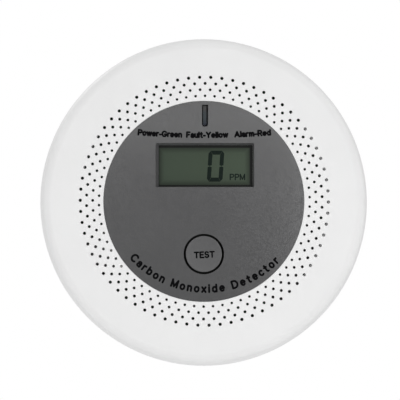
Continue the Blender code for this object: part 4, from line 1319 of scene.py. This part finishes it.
def crystal():
    depth = SEAT + 1.5
    can = turned([
        (0, 6.0), (1.5, 6.0, 0.4), (1.5, 0.35, 0.1), (1.62, 0.3, 0.1), (1.62, 0, 0.1), (0, 0),
    ], 40)
    can = moved(can, spin(-pi / 2, "X"), shift(-26, 3, depth))
    piece("crystal_can", can, nickel, "quartz_crystal")
    wires = [
        tube([(x, 3.2, depth), (x, 1.6, depth), (x, 1.0, depth - 0.5), (x, 1.0, BOARD_BACK - 0.6)], 0.2, 8)
        for x in (-26.5, -25.5)
    ]
    piece("crystal_wires", joined(*wires), tin)


def indicator(hue, y, colour):
    """A chip LED: a white base under a clear, tinted lens."""
    look = Look(f"{hue}_lens", 0.15, Coat_Weight=0.5, Transmission_Weight=0.3)
    look.mottle(800, 2, scaled(colour, 0.9), colour)
    base = bevelled(block((1.6, 1.2), (SLOT_X, y), SEAT, 26.4), 0.05, 1)
    lens = bevelled(block((1.2, 1.1), (SLOT_X, y), 26.35, 26.9), 0.2, 3)
    piece(
        f"lamp_{hue}", joined(base, lens), [filter_white, look.material], f"led_{hue}",
        paint=lambda centre: int(centre.z > 26.41),
    )


def display_holder():
    """A frame that seats the glass over two strips of layered rubber, black and light in turn."""
    top, ledge = 34.7, 33.3
    x, y = LCD_CENTRE
    outer, cavity = rounded_box(34.2, 20.4, 0.8, LCD_CENTRE), rounded_box(28.6, 15.4, 0.4, LCD_CENTRE)
    seat = slab((31.0, 17.2), 0.3, LCD_CENTRE, ledge, top + 1)
    clips = [block((3.0, 1.0), (x + dx, y + dy), SEAT, 30.0) for dx in (-9, 9) for dy in (10.4, -10.4)]
    body = union(cut(outlined([outer, cavity], SEAT, top), seat), *clips)
    piece("display_frame", body, inner_white, "lcd_holder")
    look = Look("zebra_layers", 0.7)
    wave = look.node("TexWave", "Fac", [("bands_direction", "X")], Scale=500, Vector=look.coords)
    look.shade(Base_Color=look.ramp(wave, (0.45, (0.02, 0.02, 0.02)), (0.55, (0.35, 0.34, 0.32))))
    for side, dy in (("upper", 6.3), ("lower", -6.3)):
        strip = bevelled(block((27, 2), (0, y + dy), SEAT, ledge), 0.12)
        piece(f"contact_rubber_strip_{side}", strip, look.material, f"zebra_strip_{side}")


def switch():
    x, y = BUTTON
    body = cut(bevelled(block((6, 6), BUTTON, SEAT, 29.3), 0.2), drum(2.1, 27.3, 31, BUTTON, 40))
    piece("switch_case", body, black_plastic, "switch_body")
    plate = cut(bevelled(block((5.6, 5.6), BUTTON, 29.3, 29.45), 0.04, 1), drum(2.2, 29, 30, BUTTON, 40))
    legs = [
        block((1.1, 0.7), (x + dx, y + dy), BOARD_FRONT, SEAT + 0.4)
        for dx in (-3.4, 3.4) for dy in (-2.2, 2.2)
    ]
    piece("switch_metal", joined(plate, *legs), nickel)
    stem = turned([(0, 31.2), (1.7, 31.2, 0.3), (1.7, 28.6, 0.15), (0, 28.6)], 40, BUTTON)
    piece("switch_stem", stem, black_plastic, "switch_plunger", "button")


def smooth_route(points, count):
    """Points on a Catmull-Rom curve through a short list of route points."""
    vectors = [Vector(point) for point in points]
    vectors = [2 * vectors[0] - vectors[1], *vectors, 2 * vectors[-1] - vectors[-2]]
    route = []
    for i in range(count):
        t = i / (count - 1) * (len(vectors) - 3)
        k = min(int(t), len(vectors) - 4)
        u = t - k
        a, b, c, d = vectors[k : k + 4]
        square = (2 * a - 5 * b + 4 * c - d) * u ** 2
        cube = (3 * b - a - 3 * c + d) * u ** 3
        route.append((2 * b + (c - a) * u + square + cube) / 2)
    return route


def lead(name, node, look, route):
    """A sleeved wire with a bare tinned length at each end."""
    path = smooth_route(route, 40)
    piece(name, tube(path, 0.55), look, node, sharp=60)
    for end, (tip, inward) in enumerate(((path[0], path[1]), (path[-1], path[-2])), 1):
        out = (tip - inward).normalized()
        piece(f"{name}_end_{end}", tube([tip - out * 0.3, tip + out * 0.7], 0.33, 8), tin)


def battery_lead(side):
    route = ((31.2, 14.6, 19.5), (32.0, 13.0, 21.0), (33.5, 9.5, 21.8), (34.5, 7.5, 23.2))
    return [(x * side, y * side, z) for x, y, z in route]


def sounder_lead(side):
    route = ((2.2, -2.7, 26.5), (2.2, -1.6, 28.2), (1.32, 0, 28.0), (1.1, 1, 26.5))
    return [(22 + x * side, y, z) for x, y, z in route]


circuit_board()
traces()
chips()
packaged("controller", "microcontroller", (-10, -27.5), (7, 7), 27.1, [(0, 8), (90, 8), (180, 8), (270, 8)])
packaged("driver", "sounder_driver", (25.5, 5), (4, 5), 27.3, [(0, 5), (180, 5)])
sensor()
sounder()
under_board()
crystal()
indicator("green", 27.6, (0.10, 0.55, 0.16))
indicator("yellow", 25.5, (0.75, 0.52, 0.05))
indicator("red", 23.4, (0.62, 0.05, 0.04))
display_holder()
switch()
for kind, route in (("battery", battery_lead), ("sounder", sounder_lead)):
    lead(f"lead_{kind}_red", f"{kind}_lead_red", red_sleeve, route(1))
    lead(f"lead_{kind}_dark", f"{kind}_lead_black", dark_sleeve, route(-1))


# ---- Stage, light and camera


def stage():
    look = Look("studio_floor", 0.7)
    look.mottle(3, 3, (0.9, 0.9, 0.9), (0.92, 0.92, 0.92))
    mesh = moved(revolved([(0, 0), (1.0, 0)], 64, closed=False), shift(z=-0.16))
    mesh.materials.append(look.material)
    floor = link(bpy.data.objects.new("floor", mesh))


def world(ambient):
    """Soft light, dimmer from the front and back than from the sides, on a background seen as white."""
    result = bpy.data.worlds.new("studio")
    bpy.context.scene.world = result
    result.use_nodes = True
    result.node_tree.nodes.clear()
    make = Nodes(result.node_tree)
    depth = make.axis("Y", make.node("TexCoord", "Generated"))
    greys = [(place, (value,) * 3) for place, value in ((0.0, 0.58), (0.5, 1.0), (1.0, 0.6))]
    shade = make.ramp(make.spread(depth, 0.0, 1.0, -1.0, 1.0), *greys)
    light = make.node("Background", "Background", Color=shade, Strength=ambient)
    seen = make.node("Background", "Background", Color=(1, 1, 1, 1), Strength=1.0)
    mix = make.node("MixShader", "Shader", Fac=make.node("LightPath", "Is Camera Ray"))
    make.put(light, mix.node.inputs[1])
    make.put(seen, mix.node.inputs[2])
    make.put(mix, make.tree.nodes.new("ShaderNodeOutputWorld").inputs["Surface"])


def aimed(name, data, place, target):
    """A light or camera at a place, looking at a target."""
    obj = link(bpy.data.objects.new(name, data))
    obj.location = place
    obj.rotation_mode = "QUATERNION"
    obj.rotation_quaternion = (Vector(target) - Vector(place)).to_track_quat("-Z", "Y")
    return obj


def softbox(name, place, size, power):
    lamp = bpy.data.lights.new(name, "AREA")
    lamp.shape = "RECTANGLE"
    lamp.size, lamp.size_y = size
    lamp.energy = power
    aimed(name, lamp, place, (0, 0, 0))


def camera():
    """One metre out and just below the axis, where the face and the case's outline line up."""
    data = bpy.data.cameras.new("camera")
    data.sensor_width = 36
    data.lens = 291.6
    data.clip_start, data.clip_end = 0.05, 20
    eye = (-0.00245, -1.0, -0.0114)
    bpy.context.scene.camera = aimed("camera", data, eye, (-0.0011, -0.008, 0.00076))


stage()
world(1.07)
softbox("strip_above", (0.01, -0.6, 0.05), (0.24, 0.02), 0.065)
softbox("strip_right", (0.085, -0.42, 0.0), (0.02, 0.14), 0.26)
softbox("strip_left", (-0.085, -0.42, 0.0), (0.02, 0.14), 0.09)
softbox("side", (1.0, -0.35, 0.2), (0.6, 0.6), 0.4)
softbox("behind", (-0.5, 0.75, 0.55), (0.25, 0.25), 1.2)
camera()
bpy.context.scene.view_settings.view_transform = "Standard"
